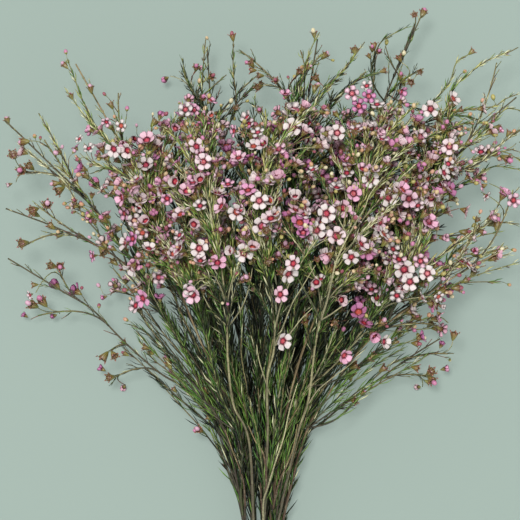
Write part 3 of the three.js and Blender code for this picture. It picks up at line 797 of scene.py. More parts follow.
# %% Where the bunch flowers, how deep a place lies, and where flowers crowd
# The lowest flowers hang lower at the bunch's sides than in its middle: x, and y where they begin.
BLOOM_BEGINS = np.array([(-110, 262), (-50, 276), (-10, 300), (35, 300), (65, 258), (100, 236)], float)
BLOOM = {"rise": 24.0, "fall": 30.0, "middle": 20.0, "half_width": 110.0, "fade": 60.0, "side_loss": 0.8}


def bloom_chance(place):
    """Near 1 in the middle of the bunch's head, falling off to the leafy tips, sides and stems."""
    x, y, _ = ((place - SHIFT) / MM).T
    rise = np.clip((y - np.interp(x, *BLOOM_BEGINS.T)) / BLOOM["rise"], 0, 1)
    fall = np.clip((CROWN_Y - y) / BLOOM["fall"], 0, 1)
    past = np.clip((np.abs(x - BLOOM["middle"]) - BLOOM["half_width"]) / BLOOM["fade"], 0, 1)
    return rise * fall * (1 - BLOOM["side_loss"] * past)


ROOF_DROP = 0.35


def depth_of(places):
    """How near the top of the bunch places are: 0 on the surface under it, 1 on the dome, which drops
    by a share towards the full outline."""
    x, y, z = ((places - SHIFT) / MM).T
    left, right = outline_at(y)
    middle = (left + right) / 2
    edge = np.clip(np.abs(x - middle) / np.maximum((right - left) / 2, 1), 0, 1)
    roof = dome_height(x, y) * (1 - ROOF_DROP * edge)
    return np.clip(z / roof, 0, 1)


MAUVE_MASS = ((-42, 388), (42, 24))


def crowding(places):
    """1 in the middle of the thick mauve mass at the upper left, falling off as a Gaussian bell."""
    x, y, _ = ((places - SHIFT) / MM).T
    (middle_x, middle_y), (wide, high) = MAUVE_MASS
    return np.exp(-(((x - middle_x) / wide) ** 2) - ((y - middle_y) / high) ** 2)


# %% Buds on stalks, and bells
BUD_STALK_RADII = (0.28, 0.24)
BUD_SIZES = (0.65, 1.15)
PINK_BUD_SHARE = 0.45
PINK_BUD_SIZE = 1.05
PINK_BUD_DEPTH = 1.4


def bud_on_stalk(owner, root, heading, reach):
    """One bud on a thin stalk that leaves a twig's end sideways, after 0.4 of its reach straight on."""
    side = unit(heading + rng.normal(0, 0.6, 3))
    end = within(root + side * reach * MM)
    line = bezier(root, root + heading * reach * 0.4 * MM, end, 3)
    twigs.append(limb(line, *BUD_STALK_RADII, owner, "stalk"))
    heads.append({"place": end, "face": unit(end - root), "owner": owner, "kind": "bud",
                  "size": rng.uniform(*BUD_SIZES)})


def bell_head(owner, place, face, size):
    """A bell. In nearly half of them a round pink bud still stands in the funnel."""
    heads.append({"place": place, "face": face, "owner": owner, "kind": "bell", "size": size})
    if rng.uniform() < PINK_BUD_SHARE:
        inside = place - face * PINK_BUD_DEPTH * size * MM
        heads.append({"place": inside, "face": face, "owner": owner, "kind": "bud",
                      "size": size * PINK_BUD_SIZE, "pink": True})


# %% What stands at the twigs' ends
# Shares of the twigs that end in a flower, and in a flower or a bell, and what crowding adds to each.
FLOWER_SHARE, FLOWER_CROWDED = 0.5, 0.16
HEAD_SHARE, HEAD_CROWDED = 0.68, 0.2
MOST_BUDS = 3
BUD_CHANCE, LEAST_BUD_CHANCE = 0.3, 0.03
FLOWER_SIZES = (0.62, 0.95)
BELL_SIZES = (0.75, 1.15)
STAGE_SHARES = (0.14, 0.28, 0.3, 0.28)
SUNK_FOOT = 0.8


def bloom(owner, line, amount, bells):
    """A flower, a bell or neither, and up to three buds. Its foot sinks a fifth into the twig's end."""
    tip = line[-1]
    heading = unit(tip - line[-3])
    chance = bloom_chance(tip) * amount
    pick = rng.uniform()
    if pick < (FLOWER_SHARE + FLOWER_CROWDED * crowding(tip)) * chance:
        outward = facing(tip, heading, len(heads))
        face = unit(heading * 0.9 + outward * rng.uniform(-0.1, 0.6) + rng.normal(0, 0.45, 3))
        heads.append({"place": tip + face * HEAD_FOOT * SUNK_FOOT * MM, "face": face, "owner": owner,
                      "kind": "flower", "size": rng.uniform(*FLOWER_SIZES),
                      "stage": int(rng.choice(len(STAGE_SHARES), p=STAGE_SHARES))})
    elif pick < (HEAD_SHARE + HEAD_CROWDED * crowding(tip)) * chance + bells:
        face = unit(heading + rng.normal(0, 0.3, 3))
        bell_head(owner, tip + face * BELL_FOOT * SUNK_FOOT * MM, face, rng.uniform(*BELL_SIZES))
    for _ in range(rng.binomial(MOST_BUDS, min(BUD_CHANCE * chance + LEAST_BUD_CHANCE, 1))):
        bud_on_stalk(owner, tip, heading, rng.uniform(2.5, 8))


inner_twigs = [t for t in twigs if t["kind"] == "twig"]
outer_twigs = [t for t in twigs if t["kind"] == "outer twig"]
# Shoots, how freely they flower, and the share of bells that stand even where little flowers.
for shoots, amount, bells in (
        (inner_twigs, 1.0, 0.05), (filling, 0.8, 0.05), (strays, 0.4, 0.3), (outer_twigs, 0.8, 0.16)):
    for shoot in shoots:
        bloom(shoot["owner"], shoot["line"], amount, bells)
print({kind: sum(h["kind"] == kind for h in heads) for kind in ("flower", "bell", "bud")})

# %% [markdown]
# ## Surfaces
# A part that is repeated hundreds of times is made once, as a small closed surface around the origin,
# and then stamped: numpy turns, scales and moves all the copies at once. Each template keeps its own
# unwrapped map, one tile wide. A copy shifts that tile sideways to pick one of eight tints, so one
# material paints every copy and no two neighbours look the same.

# %% Templates and stamping
TINTS = 8
TILE_EDGE = 0.04
TILE_WIDTH = 0.92
MAP_NAME = "OFBake"


class Template:
    """A closed surface: points, four-sided and three-sided faces, and a map corner for each."""

    def __init__(self, points, quads, quad_map, tris, tri_map):
        self.points = np.asarray(points, float).reshape(-1, 3)
        self.quads = np.asarray(quads, int).reshape(-1, 4)
        self.quad_map = np.asarray(quad_map, float).reshape(-1, 4, 2)
        self.tris = np.asarray(tris, int).reshape(-1, 3)
        self.tri_map = np.asarray(tri_map, float).reshape(-1, 3, 2)

    def moved(self, matrix, offset):
        """The same surface with its points turned by a matrix and shifted."""
        points = self.points @ np.asarray(matrix).T + offset
        return Template(points, self.quads, self.quad_map, self.tris, self.tri_map)


def together(parts):
    """Several templates as one: points in a row, face numbers raised by the points before them."""
    starts = np.cumsum([0] + [len(p.points) for p in parts[:-1]])
    return Template(
        np.concatenate([p.points for p in parts]),
        np.concatenate([p.quads + s for p, s in zip(parts, starts)]),
        np.concatenate([p.quad_map for p in parts]),
        np.concatenate([p.tris + s for p, s in zip(parts, starts)]),
        np.concatenate([p.tri_map for p in parts]),
    )


def stamped(template, places, frames, sizes, tints):
    """Copies of a template: points times size, turned by each frame, moved to each place. The map's
    u is squeezed into the tile of each copy's tint."""
    count = len(places)
    points = np.einsum("kij,nj->kni", frames, template.points) * sizes[:, None, None]
    points += places[:, None, :]
    starts = (np.arange(count) * len(template.points))[:, None, None]

    def tiled(corners):
        corners = np.repeat(corners[None], count, axis=0)
        corners[..., 0] = (tints[:, None, None] + TILE_EDGE + TILE_WIDTH * corners[..., 0]) / TINTS
        return corners

    return Template(
        above_floor(points),
        template.quads + starts,
        tiled(template.quad_map),
        template.tris + starts,
        tiled(template.tri_map),
    )


def frames_on(axes, spins):
    """A turned frame for each axis: third column the axis, first column spun round it."""
    one, two = across(axes)
    first = one * np.cos(spins)[:, None] + two * np.sin(spins)[:, None]
    return np.stack([first, np.cross(axes, first), axes], axis=-1)


# %% Making the mesh objects
triangles = {}


def make_piece(name, parts, material):
    """One smooth mesh object at the origin from templates in model metres. Its count is kept."""
    whole = together(parts)
    mesh = bpy.data.meshes.new(name)
    mesh.vertices.add(len(whole.points))
    mesh.vertices.foreach_set("co", whole.points.ravel().astype(np.float32))
    corners = np.concatenate([whole.quads.ravel(), whole.tris.ravel()])
    sizes = np.concatenate([np.full(len(whole.quads), 4), np.full(len(whole.tris), 3)])
    mesh.loops.add(len(corners))
    mesh.loops.foreach_set("vertex_index", corners.astype(np.int32))
    mesh.polygons.add(len(sizes))
    starts = np.concatenate([[0], np.cumsum(sizes)[:-1]])
    mesh.polygons.foreach_set("loop_start", starts.astype(np.int32))
    mesh.polygons.foreach_set("use_smooth", np.full(len(sizes), True))
    places = np.concatenate([whole.quad_map.reshape(-1, 2), whole.tri_map.reshape(-1, 2)])
    mesh.uv_layers.new(name=MAP_NAME).data.foreach_set("uv", places.ravel().astype(np.float32))
    mesh.update(calc_edges=True)
    mesh.validate()
    mesh.materials.append(material)
    piece = bpy.data.objects.new(name, mesh)
    bpy.context.scene.collection.objects.link(piece)
    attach(piece, "root")
    triangles[name] = len(whole.quads) * 2 + len(whole.tris)
    return piece


# %% [markdown]
# ## Round limbs and turned shapes
# Wood is a tube whose rings stand square to its line. Cups, discs and buds are turned on a lathe: a
# profile is carried round an axis. Both close at their ends with a fan, so no hole shows.

# %% Walls between rings, and fans that close the ends
def ring_walls(rings, sides, v):
    """Four-sided faces between neighbouring rings of points. Their map corners run round the rings in
    u, and v is given for each ring."""
    i, j = np.meshgrid(np.arange(rings - 1), np.arange(sides), indexing="ij")
    k = (j + 1) % sides
    quads = np.stack([i * sides + j, i * sides + k, (i + 1) * sides + k, (i + 1) * sides + j], -1)
    left, right = j / sides, (j + 1) / sides
    corners = [(left, v[i]), (right, v[i]), (right, v[i + 1]), (left, v[i + 1])]
    return quads, np.stack([np.stack(c, -1) for c in corners], -2)


def end_fans(rings, sides):
    """Three-sided faces from each end ring to its pole; both poles are numbered after the rings."""
    j = np.arange(sides)
    k = (j + 1) % sides
    top = (rings - 1) * sides
    first_pole, last_pole = np.full(sides, rings * sides), np.full(sides, rings * sides + 1)
    return np.concatenate([
        np.stack([first_pole, k, j], -1), np.stack([last_pole, top + j, top + k], -1)])


def fan_map(sides, pole_v, rim_v, backwards):
    """A fan's map corners: its pole over the middle of each side, then the side's two ends."""
    j = np.arange(sides)
    ends = [(j + 1) / sides, j / sides] if backwards else [j / sides, (j + 1) / sides]
    rows = [((j + 0.5) / sides, pole_v), *((u, rim_v) for u in ends)]
    return np.stack([np.stack([u, np.full(sides, v)], -1) for u, v in rows], 1)


# %% Tubes and lathes
CUT_RADIUS_ON_MAP = 0.4


def tube(line, radii, sides, cut_tile=None):
    """Rings of points round a line, at radius times cosine and sine of even angles, closed by a fan
    at both ends. The map runs round in u and along in v. A cut end is mapped as a disc, in another
    tile."""
    rings = len(line)
    heading = unit(np.gradient(line, axis=0))
    one = unit(np.cross(heading, across(heading[rings // 2][None])[1][0]))
    two = np.cross(heading, one)
    angles = np.arange(sides) / sides * 2 * np.pi
    ring = one[:, None] * np.cos(angles)[:, None] + two[:, None] * np.sin(angles)[:, None]
    points = line[:, None] + ring * np.asarray(radii)[:, None, None]
    points = np.concatenate([points.reshape(-1, 3), line[:1], line[-1:]])
    quads, quad_map = ring_walls(rings, sides, np.arange(rings) / (rings - 1))
    start_map = fan_map(sides, 0.0, 0.02, backwards=True)
    if cut_tile is not None:
        disc = 0.5 + CUT_RADIUS_ON_MAP * np.stack([np.cos(angles), np.sin(angles)], -1)
        start_map = np.stack([np.full((sides, 2), 0.5), np.roll(disc, -1, axis=0), disc], 1)
        start_map[..., 0] += cut_tile
    end_map = fan_map(sides, 1.0, 0.98, backwards=False)
    tri_map = np.concatenate([start_map, end_map])
    return Template(points, quads, quad_map, end_fans(rings, sides), tri_map)


def lathe(profile, sides, low, high):
    """A profile of (radius, height) turned round the z axis. Its first and last points lie on the
    axis. The map runs round in u and along the profile from low to high in v."""
    profile = np.asarray(profile, float)
    inner = profile[1:-1]
    rings = len(inner)
    angles = np.arange(sides) / sides * 2 * np.pi
    radii, heights = inner[:, :1], np.repeat(inner[:, 1:], sides, 1)
    points = np.stack([radii * np.cos(angles), radii * np.sin(angles), heights], -1)
    ends = [[0, 0, profile[0, 1]], [0, 0, profile[-1, 1]]]
    points = np.concatenate([points.reshape(-1, 3), ends])
    reach = np.concatenate([[0], np.cumsum(np.linalg.norm(np.diff(profile, axis=0), axis=1))])
    v = low + (high - low) * reach / reach[-1]
    quads, quad_map = ring_walls(rings, sides, v[1:-1])
    tri_map = np.concatenate([
        fan_map(sides, v[0], v[1], backwards=True), fan_map(sides, v[-1], v[-2], backwards=False)])
    return Template(points, quads, quad_map, end_fans(rings, sides), tri_map)


print("one twig has", len(tube(twigs[0]["line"], twigs[0]["radii"], 3).points), "points")

# %% [markdown]
# ## The needle leaf
# A waxflower leaf is a stiff needle about 1 mm wide, three-sided in section. Down among the stems it is
# up to 23 mm long, and on the flowering and straying shoots it is half that or less. It leaves the
# shoot at a narrow angle, leans back along it and ends in a small outward hook. Thousands are needed,
# so a needle has only three sides and two steps.

# %% Needle template, one unit long: z along the shoot, x away from it
STEPS = np.array([0.0, 0.5, 1.0])
SMALL_STEPS = 40
NEEDLE_OUTLINE = ([0, 0.32, 0.7], [0.55, 1.0, 0.9])


def needle(lean, hook, width):
    """Its angle from the shoot starts at lean and falls to nothing, then grows again to the hook. The
    line is the running sum of sine and cosine of that angle."""
    s = np.linspace(0, 1, SMALL_STEPS + 1)
    angle = np.radians(lean * (1 - s) ** 1.4 + hook * s**4)
    x = np.concatenate([[0], np.cumsum(np.sin(angle[:-1]) / SMALL_STEPS)])
    z = np.concatenate([[0], np.cumsum(np.cos(angle[:-1]) / SMALL_STEPS)])
    x, z, tilt = (np.interp(STEPS, s, value) for value in (x, z, angle))
    rings = len(STEPS) - 1
    half = (width / 2 * np.interp(STEPS[:rings], *NEEDLE_OUTLINE))[:, None]
    out = np.stack([np.cos(tilt), 0 * tilt, -np.sin(tilt)], -1)[:rings]
    line = np.stack([x, 0 * x, z], -1)
    side = np.array([0.0, 1.0, 0.0])
    base = line[:rings]
    corners = [base + side * half - out * half * 0.4, base - side * half - out * half * 0.4,
               base + out * half * 0.9]
    points = np.concatenate([np.stack(corners, 1).reshape(-1, 3), line[rings:]])
    quads, quad_map = [], []
    for i in range(rings - 1):
        low, high = STEPS[i], STEPS[i + 1]
        for j in range(3):
            k = (j + 1) % 3
            quads.append([3 * i + j, 3 * i + k, 3 * i + 3 + k, 3 * i + 3 + j])
            quad_map.append([(j / 3, low), ((j + 1) / 3, low), ((j + 1) / 3, high), (j / 3, high)])
    top, tip = 3 * (rings - 1), 3 * rings
    tris = [[top + j, top + (j + 1) % 3, tip] for j in range(3)] + [[2, 1, 0]]
    low = STEPS[rings - 1]
    tri_map = [[(j / 3, low), ((j + 1) / 3, low), ((j + 0.5) / 3, 1)] for j in range(3)]
    return Template(points, quads, quad_map, tris, tri_map + [[(0.1, 0), (0.9, 0), (0.5, 0.04)]])


LONG_NEEDLES = [needle(22, 16, 0.08), needle(14, 24, 0.072), needle(30, 4, 0.076)]
SHORT_NEEDLES = [needle(26, 10, 0.14), needle(17, 18, 0.125), needle(36, -10, 0.13)]
NEEDLES = LONG_NEEDLES + SHORT_NEEDLES
print("a needle has", len(NEEDLES[0].quads) * 2 + len(NEEDLES[0].tris), "triangles")


# %% The needles' tints: painted shade deep inside and painted light on top, lighter also outside and in the mauve mass
LONG_LEAF_Y = 290.0
# The straw tint: real dry needles, and also pale painted highlight specks.
STRAW_HIGHLIGHT = TINTS - 1
LIGHTEST_LONG_LEAF = 4.6


def needle_tints(places, long_leaf, edge):
    """A start, a power of the depth that paints shade on the needles deep inside and light on those on
    top, shares of how far outside and how crowded a place is, the limb's own mood and the leaf's own. A
    few are
    straw: dry needles that also stand in for painted highlights."""
    mood = rng.normal(0, 1.8) - 1.2 * long_leaf
    # Painted light and shade: the nearer a needle lies to the top of the bunch, the lighter its tint;
    # deep inside it goes near black.
    rise = np.where(long_leaf, 3.4, 4.8) * depth_of(places) ** np.where(long_leaf, 1.8, 2.5)
    own = rng.normal(0, 1.2, len(places))
    tints = 0.6 + rise + 2.3 * edge + 1.2 * crowding(places) + mood + own
    tints = np.where(long_leaf, np.minimum(tints, LIGHTEST_LONG_LEAF), tints)
    # A few needles get the straw tint: dry needles, which also serve as painted highlight specks among
    # the dark ones.
    straw = np.where(long_leaf, 0.05, 0.06)
    tints = np.where(rng.uniform(0, 1, len(places)) < straw, STRAW_HIGHLIGHT, tints)
    return np.clip(tints, 0, TINTS - 1).astype(int)


# %% Needles in pairs along every leafy limb
LEAF_OUTSIDE_LOSS = 0.4
LEAF_END_SHRINK = 0.45
LEAF_SIZES_BY_Y = ([240, 330], [1.3, 0.88])
FOOT_IN_BARK = 0.7


def pairs_on(parent, first, last, spacing, lengths, fullness=1.0):
    """Two opposite needles at even steps, each pair a quarter turn from the last. They shorten towards
    the limb's end and outside the bunch, where there are fewer, and are longer among the stems."""
    total = length_of(parent["line"])
    stops = np.arange(total * first, total * last, spacing * MM)
    if not len(stops):
        return None
    roots, headings = along(parent["line"], stops)
    kept = rng.uniform(0, 1, len(stops)) < fullness * (1 - LEAF_OUTSIDE_LOSS * outside(roots))
    if not kept.any():
        return None
    stops, roots, headings = stops[kept], roots[kept], headings[kept]
    radius = np.interp(stops / total, [0, 1], [parent["radii"][0], parent["radii"][-1]])
    turns = np.cumsum(np.full(len(stops), np.pi / 2)) + rng.uniform(0, 2 * np.pi)
    turns = turns + rng.normal(0, 0.3, len(stops))
    turns = np.concatenate([turns, turns + np.pi + rng.normal(0, 0.25, len(stops))])
    headings = np.tile(headings, (2, 1))
    one, two = across(headings)
    outward = one * np.cos(turns)[:, None] + two * np.sin(turns)[:, None]
    places = np.tile(roots, (2, 1)) + outward * np.tile(radius, 2)[:, None] * FOOT_IN_BARK
    tipped = unit(headings + rng.normal(0, 0.1, headings.shape))
    outward = unit(outward - tipped * (outward * tipped).sum(-1, keepdims=True))
    frames = np.stack([outward, np.cross(tipped, outward), tipped], axis=-1)
    plan_y = (places[:, 1] - SHIFT[1]) / MM
    edge = outside(places)
    loss = 0.0 if parent["kind"] == "stray" else LEAF_OUTSIDE_LOSS
    shrink = (1 - LEAF_END_SHRINK * np.tile(stops / total, 2) ** 3) * (1 - loss * edge)
    shrink *= np.interp(plan_y, *LEAF_SIZES_BY_Y)
    sizes = rng.uniform(*lengths, len(turns)) * shrink * MM
    long_leaf = plan_y < LONG_LEAF_Y
    shapes = np.where(long_leaf, rng.integers(0, len(LONG_NEEDLES), len(turns)),
                      len(LONG_NEEDLES) + rng.integers(0, len(SHORT_NEEDLES), len(turns)))
    tints = needle_tints(places, long_leaf, edge)
    return places, frames, sizes, shapes, tints, np.full(len(turns), parent["owner"])


# %% Needles on each kind of limb: first and last share, spacing, lengths and fullness
# On the older stems the needles start this share of the way up.
OLD_WOOD = {"centre": 0.7, "centre_left": 0.68, "centre_right": 0.7, "upper_right": 0.66,
            "mid_right": 0.62}
YOUNG_STEM_BARE = 0.34
OLD_SPRAY_BARE, YOUNG_SPRAY_BARE = 0.45, 0.15

rows = []
for index, name in enumerate(STEM_NAMES):
    bare = OLD_WOOD.get(name, YOUNG_STEM_BARE)
    rows.append(pairs_on(stems[index], bare, 0.995, 6.0, (9, 14), 0.8))
for spray in sprays:
    bare = OLD_SPRAY_BARE if STEM_NAMES[spray["owner"]] in OLD_WOOD else YOUNG_SPRAY_BARE
    rows.append(pairs_on(spray, bare, 1.0, 4.6, (8, 14)))
rows += [pairs_on(s, 0.12, 1.0, 5.0, (9, 15)) for s in thin_stems]
rows += [pairs_on(s, 0.12, 1.0, 4.0, (11, 18)) for s in deep]
rows += [pairs_on(s, 0.15, 1.0, 4.0, (8, 14)) for s in filling]
rows += [pairs_on(s, 0.2, 1.0, 3.6, (8, 13), 0.2 + 0.8 * s["leafy"]) for s in strays]
for twig in [t for t in twigs if t["kind"] in ("twig", "outer twig")]:
    blooming = float(bloom_chance(twig["line"][-1]))
    lengths = (5 - blooming, 10 - 2.5 * blooming)
    rows.append(pairs_on(twig, 0.1, 1.0, 4.0, lengths, 1 - 0.55 * blooming))
long_stalks = [t for t in twigs if t["kind"] == "stalk" and len(t["line"]) == STALK_POINTS]
rows += [pairs_on(t, 0.2, 0.8, 7.0, (4, 8)) for t in long_stalks]
rows = [row for row in rows if row is not None]
leaf_places, leaf_frames, leaf_sizes, leaf_shapes, leaf_tints, leaf_owners = (
    np.concatenate(part) for part in zip(*rows))
print("needles", len(leaf_places))

# %% [markdown]
# ## The flower
# Five petals stand on the rim of a funnel cup. A petal is a round, slightly hollow blade on a narrow
# claw. It is a thin closed shell: a front and a back sheet that share their edge. Flowers open one
# after another, so there are four stages, from wide open to a small cup.

# %% Petal outline and shape, in millimetres
# A net's rows from claw to tip and its columns from side to side, for near flowers and for deep ones.
FINE = (np.array([0.0, 0.24, 0.54, 0.8, 0.94, 1.0]), np.array([-1.0, -0.56, 0.0, 0.56, 1.0]))
COARSE = (np.array([0.0, 0.32, 0.76, 1.0]), np.array([-1.0, 0.0, 1.0]))
PETAL_OUTLINE = ([0, 0.16, 0.38, 0.62, 0.82, 0.94, 1], [0.5, 0.68, 0.9, 1, 0.94, 0.7, 0.32])
CLAW_AT = 2.5
PETAL_LENGTH = 5.4
PETAL_HALF_WIDTH = 3.15
PETAL_HALF_THICKNESS = 0.15


def petal_sheet(net, rise_start, rise_end, hollow, curl_seed):
    """Half width follows a chosen outline along the petal. The blade climbs at an angle that runs from
    rise_start to rise_end, its sides lift with the square of the distance from its middle, and a
    small wave runs over it. Both sheets stand half the thickness off, which falls to 0 at the edge."""
    rows, columns = net
    v = rows[:, None]
    u = columns[None, :]
    outline = np.interp(v, *PETAL_OUTLINE)
    rises = np.radians(rise_start + (rise_end - rise_start) * rows)
    steps = np.diff(rows)
    middle = (rises[1:] + rises[:-1]) / 2
    out = CLAW_AT + PETAL_LENGTH * np.concatenate([[0], np.cumsum(np.cos(middle) * steps)])
    up = PETAL_LENGTH * np.concatenate([[0], np.cumsum(np.sin(middle) * steps)])
    x = PETAL_HALF_WIDTH * outline * u
    lift = hollow * (u * u * outline - 0.3 * np.sin(np.pi * v))
    wave = 0.22 * v * u * np.sin(4 * v + curl_seed) + 0.12 * np.sin(5 * u + curl_seed) * v
    tilt = rises[:, None]
    y = out[:, None] - np.sin(tilt) * (lift + wave)
    z = up[:, None] + np.cos(tilt) * (lift + wave)
    normal = np.stack([0 * x, -np.sin(tilt) + 0 * x, np.cos(tilt) + 0 * x], -1)
    thick = PETAL_HALF_THICKNESS * (1 - u**4) * np.sqrt(np.sin(np.pi * np.clip(v, 0, 1)))
    sheet = np.stack([x, y, z], -1)
    offset = normal * thick[..., None]
    return sheet + offset, sheet - offset


# The map's v at the front's claw and at the back's, and how much v each sheet takes up.
FRONT_FOOT, BACK_FOOT, SHEET_SPAN = 0.01, 0.51, 0.48


def petal(net, rise_start, rise_end, hollow, curl_seed):
    """Front and back sheets joined along their shared edge. The front is mapped to the lower half of
    the tile and the back to the upper half."""
    front, back = petal_sheet(net, rise_start, rise_end, hollow, curl_seed)
    rows, columns = front.shape[:2]
    number = np.arange(rows * columns).reshape(rows, columns)
    behind = number.copy()
    behind[1:-1, 1:-1] = rows * columns + np.arange((rows - 2) * (columns - 2)).reshape(rows - 2, -1)
    points = np.concatenate([front.reshape(-1, 3), back[1:-1, 1:-1].reshape(-1, 3)])
    i, j = np.meshgrid(np.arange(rows - 1), np.arange(columns - 1), indexing="ij")
    around = [(i, j), (i, j + 1), (i + 1, j + 1), (i + 1, j)]
    front_quads = np.stack([number[a, b] for a, b in around], -1).reshape(-1, 4)
    back_quads = np.stack([behind[a, b] for a, b in around[::-1]], -1).reshape(-1, 4)
    u, v = (net[1] + 1) / 2, SHEET_SPAN * net[0]
    front_map = np.stack([np.stack([u[b], FRONT_FOOT + v[a]], -1) for a, b in around], -2)
    back_map = np.stack([np.stack([u[b], BACK_FOOT + v[a]], -1) for a, b in around[::-1]], -2)
    quad_map = np.concatenate([front_map.reshape(-1, 4, 2), back_map.reshape(-1, 4, 2)])
    return Template(points, np.concatenate([front_quads, back_quads]), quad_map, [], [])


def turned(angle):
    """The matrix that turns points about z by an angle."""
    c, s = np.cos(angle), np.sin(angle)
    return np.array([[c, -s, 0], [s, c, 0], [0, 0, 1]])


FIFTH = 2 * np.pi / 5
PETAL_LIFT = 0.05


def corolla(net, rise_start, rise_end, hollow, seed):
    """Five petals, each a fifth of a turn on. Each has its own first and last rise and its own turn,
    by bell-shaped chance of 6 and 10 degrees and 0.09 radians."""
    petals = []
    for k in range(5):
        own = rng.normal(0, 1, 3)
        shape = petal(net, rise_start + 6 * own[0], rise_end + 10 * own[1], hollow, seed + 2 * k)
        petals.append(shape.moved(turned(k * FIFTH + 0.09 * own[2]), [0, 0, PETAL_LIFT]))
    return together(petals)


# %% The four stages: first and last rise in degrees, hollow and the wave's start, each made twice
STAGES = [(24, 0, 0.4, 1.0), (32, 10, 0.55, 2.5), (48, 32, 0.7, 4.0), (72, 66, 0.9, 5.5)]
MAKES = 2
COROLLAS = [corolla(FINE, *stage) for stage in STAGES * MAKES]
SMALL_COROLLAS = [corolla(COARSE, *stage) for stage in STAGES * MAKES]
print("a corolla has", 2 * len(COROLLAS[0].quads), "or", 2 * len(SMALL_COROLLAS[0].quads), "triangles")

# %% [markdown]
# ## The flower's middle, bells and buds
# The cup is a ribbed funnel that carries five small sepals. Inside its rim sits the waxy disc, ringed
# by ten dark anthers on short filaments, with the style in its middle. A bell is the same funnel
# after the petals fall, open and hollow. A bud is a small egg with the folded petals at its tip.

# %% Small shapes: spikes, beads and sepals, with the stretch of the map's v that each part has
CUP_BAND = (0.01, 0.40)
SEPAL_BAND = (0.42, 0.52)
DISC_BAND = (0.54, 0.74)
FILAMENT_BAND = (0.76, 0.80)
ANTHER_BAND = (0.83, 0.88)
STYLE_BAND = (0.90, 0.96)
STIGMA_BAND = (0.97, 0.99)
RIM_RADIUS = 3.0


def spike(start, end, radius, band):
    """A thin three-sided pyramid from a base round the start to a point at the end."""
    start, end = np.array(start, float), np.array(end, float)
    one, two = across(unit(end - start)[None])
    angles = np.arange(3) * 2 * np.pi / 3
    base = start + radius * (np.cos(angles)[:, None] * one + np.sin(angles)[:, None] * two)
    low, high = band
    sides = [[j, (j + 1) % 3, 3] for j in range(3)]
    side_map = [[(j / 3, low), ((j + 1) / 3, low), ((j + 0.5) / 3, high)] for j in range(3)]
    base_map = [(0.1, low), (0.9, low), (0.5, high)]
    return Template([*base, end], [], [], [*sides, [2, 1, 0]], [*side_map, base_map])


def bead(centre, radius, height, band, sides):
    """A double cone: a ring of points between two poles."""
    return lathe([(0, -height), (radius, 0), (0, height)], sides, *band).moved(np.eye(3), centre)


def sepal(angle, length, width, rise):
    """A small pointed scale on the cup's rim: two foot corners and a tip, with a low pyramid on each
    side of that triangle. Each corner has one place on the map, both pyramids' tops the middle."""
    tip = [0, RIM_RADIUS + 0.1 + length * np.cos(rise), length * np.sin(rise)]
    below = [0, RIM_RADIUS + 0.25 + length * 0.35, -0.05]
    above = [0, RIM_RADIUS - 0.1 + length * 0.3, 0.35 + length * 0.35]
    points = [[-width / 2, RIM_RADIUS, 0], [width / 2, RIM_RADIUS, 0], tip, below, above]
    tris = [[1, 0, 3], [2, 1, 3], [0, 2, 3], [0, 1, 4], [1, 2, 4], [2, 0, 4]]
    low, high = SEPAL_BAND
    middle = (0.5, (low + high) / 2)
    spots = np.array([(0.1, low), (0.9, low), (0.5, high), middle, middle])
    return Template(points, [], [], tris, spots[np.array(tris)]).moved(turned(angle), [0, 0, 0])


# %% The middle of an open flower, in millimetres, facing +z; profiles are (radius, height)
def flower_middle():
    """Cup, disc, sepals, stamens and style as one template."""
    cup = lathe([(0, -5.7), (0.7, -5.2), (1.25, -4.0), (2.35, -2.0), (3.1, 0.0), (0, -0.5)], 9, *CUP_BAND)
    disc = lathe([(0, -0.9), (2.9, -0.45), (2.65, 0.15), (1.3, 0.12), (0, -0.2)], 10, *DISC_BAND[::-1])
    parts = [cup, disc]
    parts += [sepal((k + 0.5) * FIFTH, 1.5, 1.9, 0.5) for k in range(5)]
    for k in range(10):
        angle = (k + 0.5) * np.pi / 5
        out = np.array([np.cos(angle), np.sin(angle), 0])
        tip = out * (2.5 + 0.25 * (k % 2)) + [0, 0, 0.9 + 0.15 * (k % 3)]
        parts.append(spike(out * 2.95 + [0, 0, -0.1], tip, 0.2, FILAMENT_BAND))
        parts.append(bead(tip, 0.4, 0.36, ANTHER_BAND, 3))
    parts.append(spike([0, 0, -0.3], [0.1, 0.05, 2.2], 0.26, STYLE_BAND))
    parts.append(bead([0.1, 0.05, 2.1], 0.3, 0.24, STIGMA_BAND, 3))
    return together(parts)


def small_middle():
    """The same for flowers deep in the bunch: a plain cup and a disc with its painted ring."""
    cup = lathe([(0, -5.7), (1.1, -4.2), (3.1, 0.0), (0, -0.5)], 7, *CUP_BAND)
    disc = lathe([(0, -0.7), (3.0, -0.1), (2.4, 0.5), (1.4, 0.2), (0, -0.1)], 7, *DISC_BAND[::-1])
    return together([cup, disc])


def bell():
    """A hollow funnel with its five sepals, in millimetres, its rim at the origin."""
    cup = lathe([(0, -5.7), (0.6, -5.3), (1.3, -4.0), (2.75, -0.2), (2.5, 0.0), (1.5, -1.9), (0, -2.5)],
                7, *CUP_BAND)
    scales = [sepal(k * FIFTH, 1.5, 2.0, 0.9).moved(np.diag([0.9, 0.9, 1]), [0, 0, -0.1])
              for k in range(5)]
    return together([cup, *scales])


def bud():
    """An egg on a short cup, its pole at the folded petals, in millimetres, its foot at the origin."""
    return lathe([(0, -0.6), (1.2, 0.8), (1.6, 2.4), (1.05, 3.7), (0, 4.2)], 6, 0.01, 0.99)


MIDDLE, SMALL_MIDDLE, BELL, BUD = flower_middle(), small_middle(), bell(), bud()
for name, shape in (("middle", MIDDLE), ("small middle", SMALL_MIDDLE), ("bell", BELL), ("bud", BUD)):
    print(name, 2 * len(shape.quads) + len(shape.tris), "triangles")

# %% [markdown]
# ## Finishes
# Every finish is painted from the unwrapped map: u says which of the eight tints a copy has and where
# round the part a point lies, and v says how far along it. A small class lets shader sums be written
# like ordinary ones.

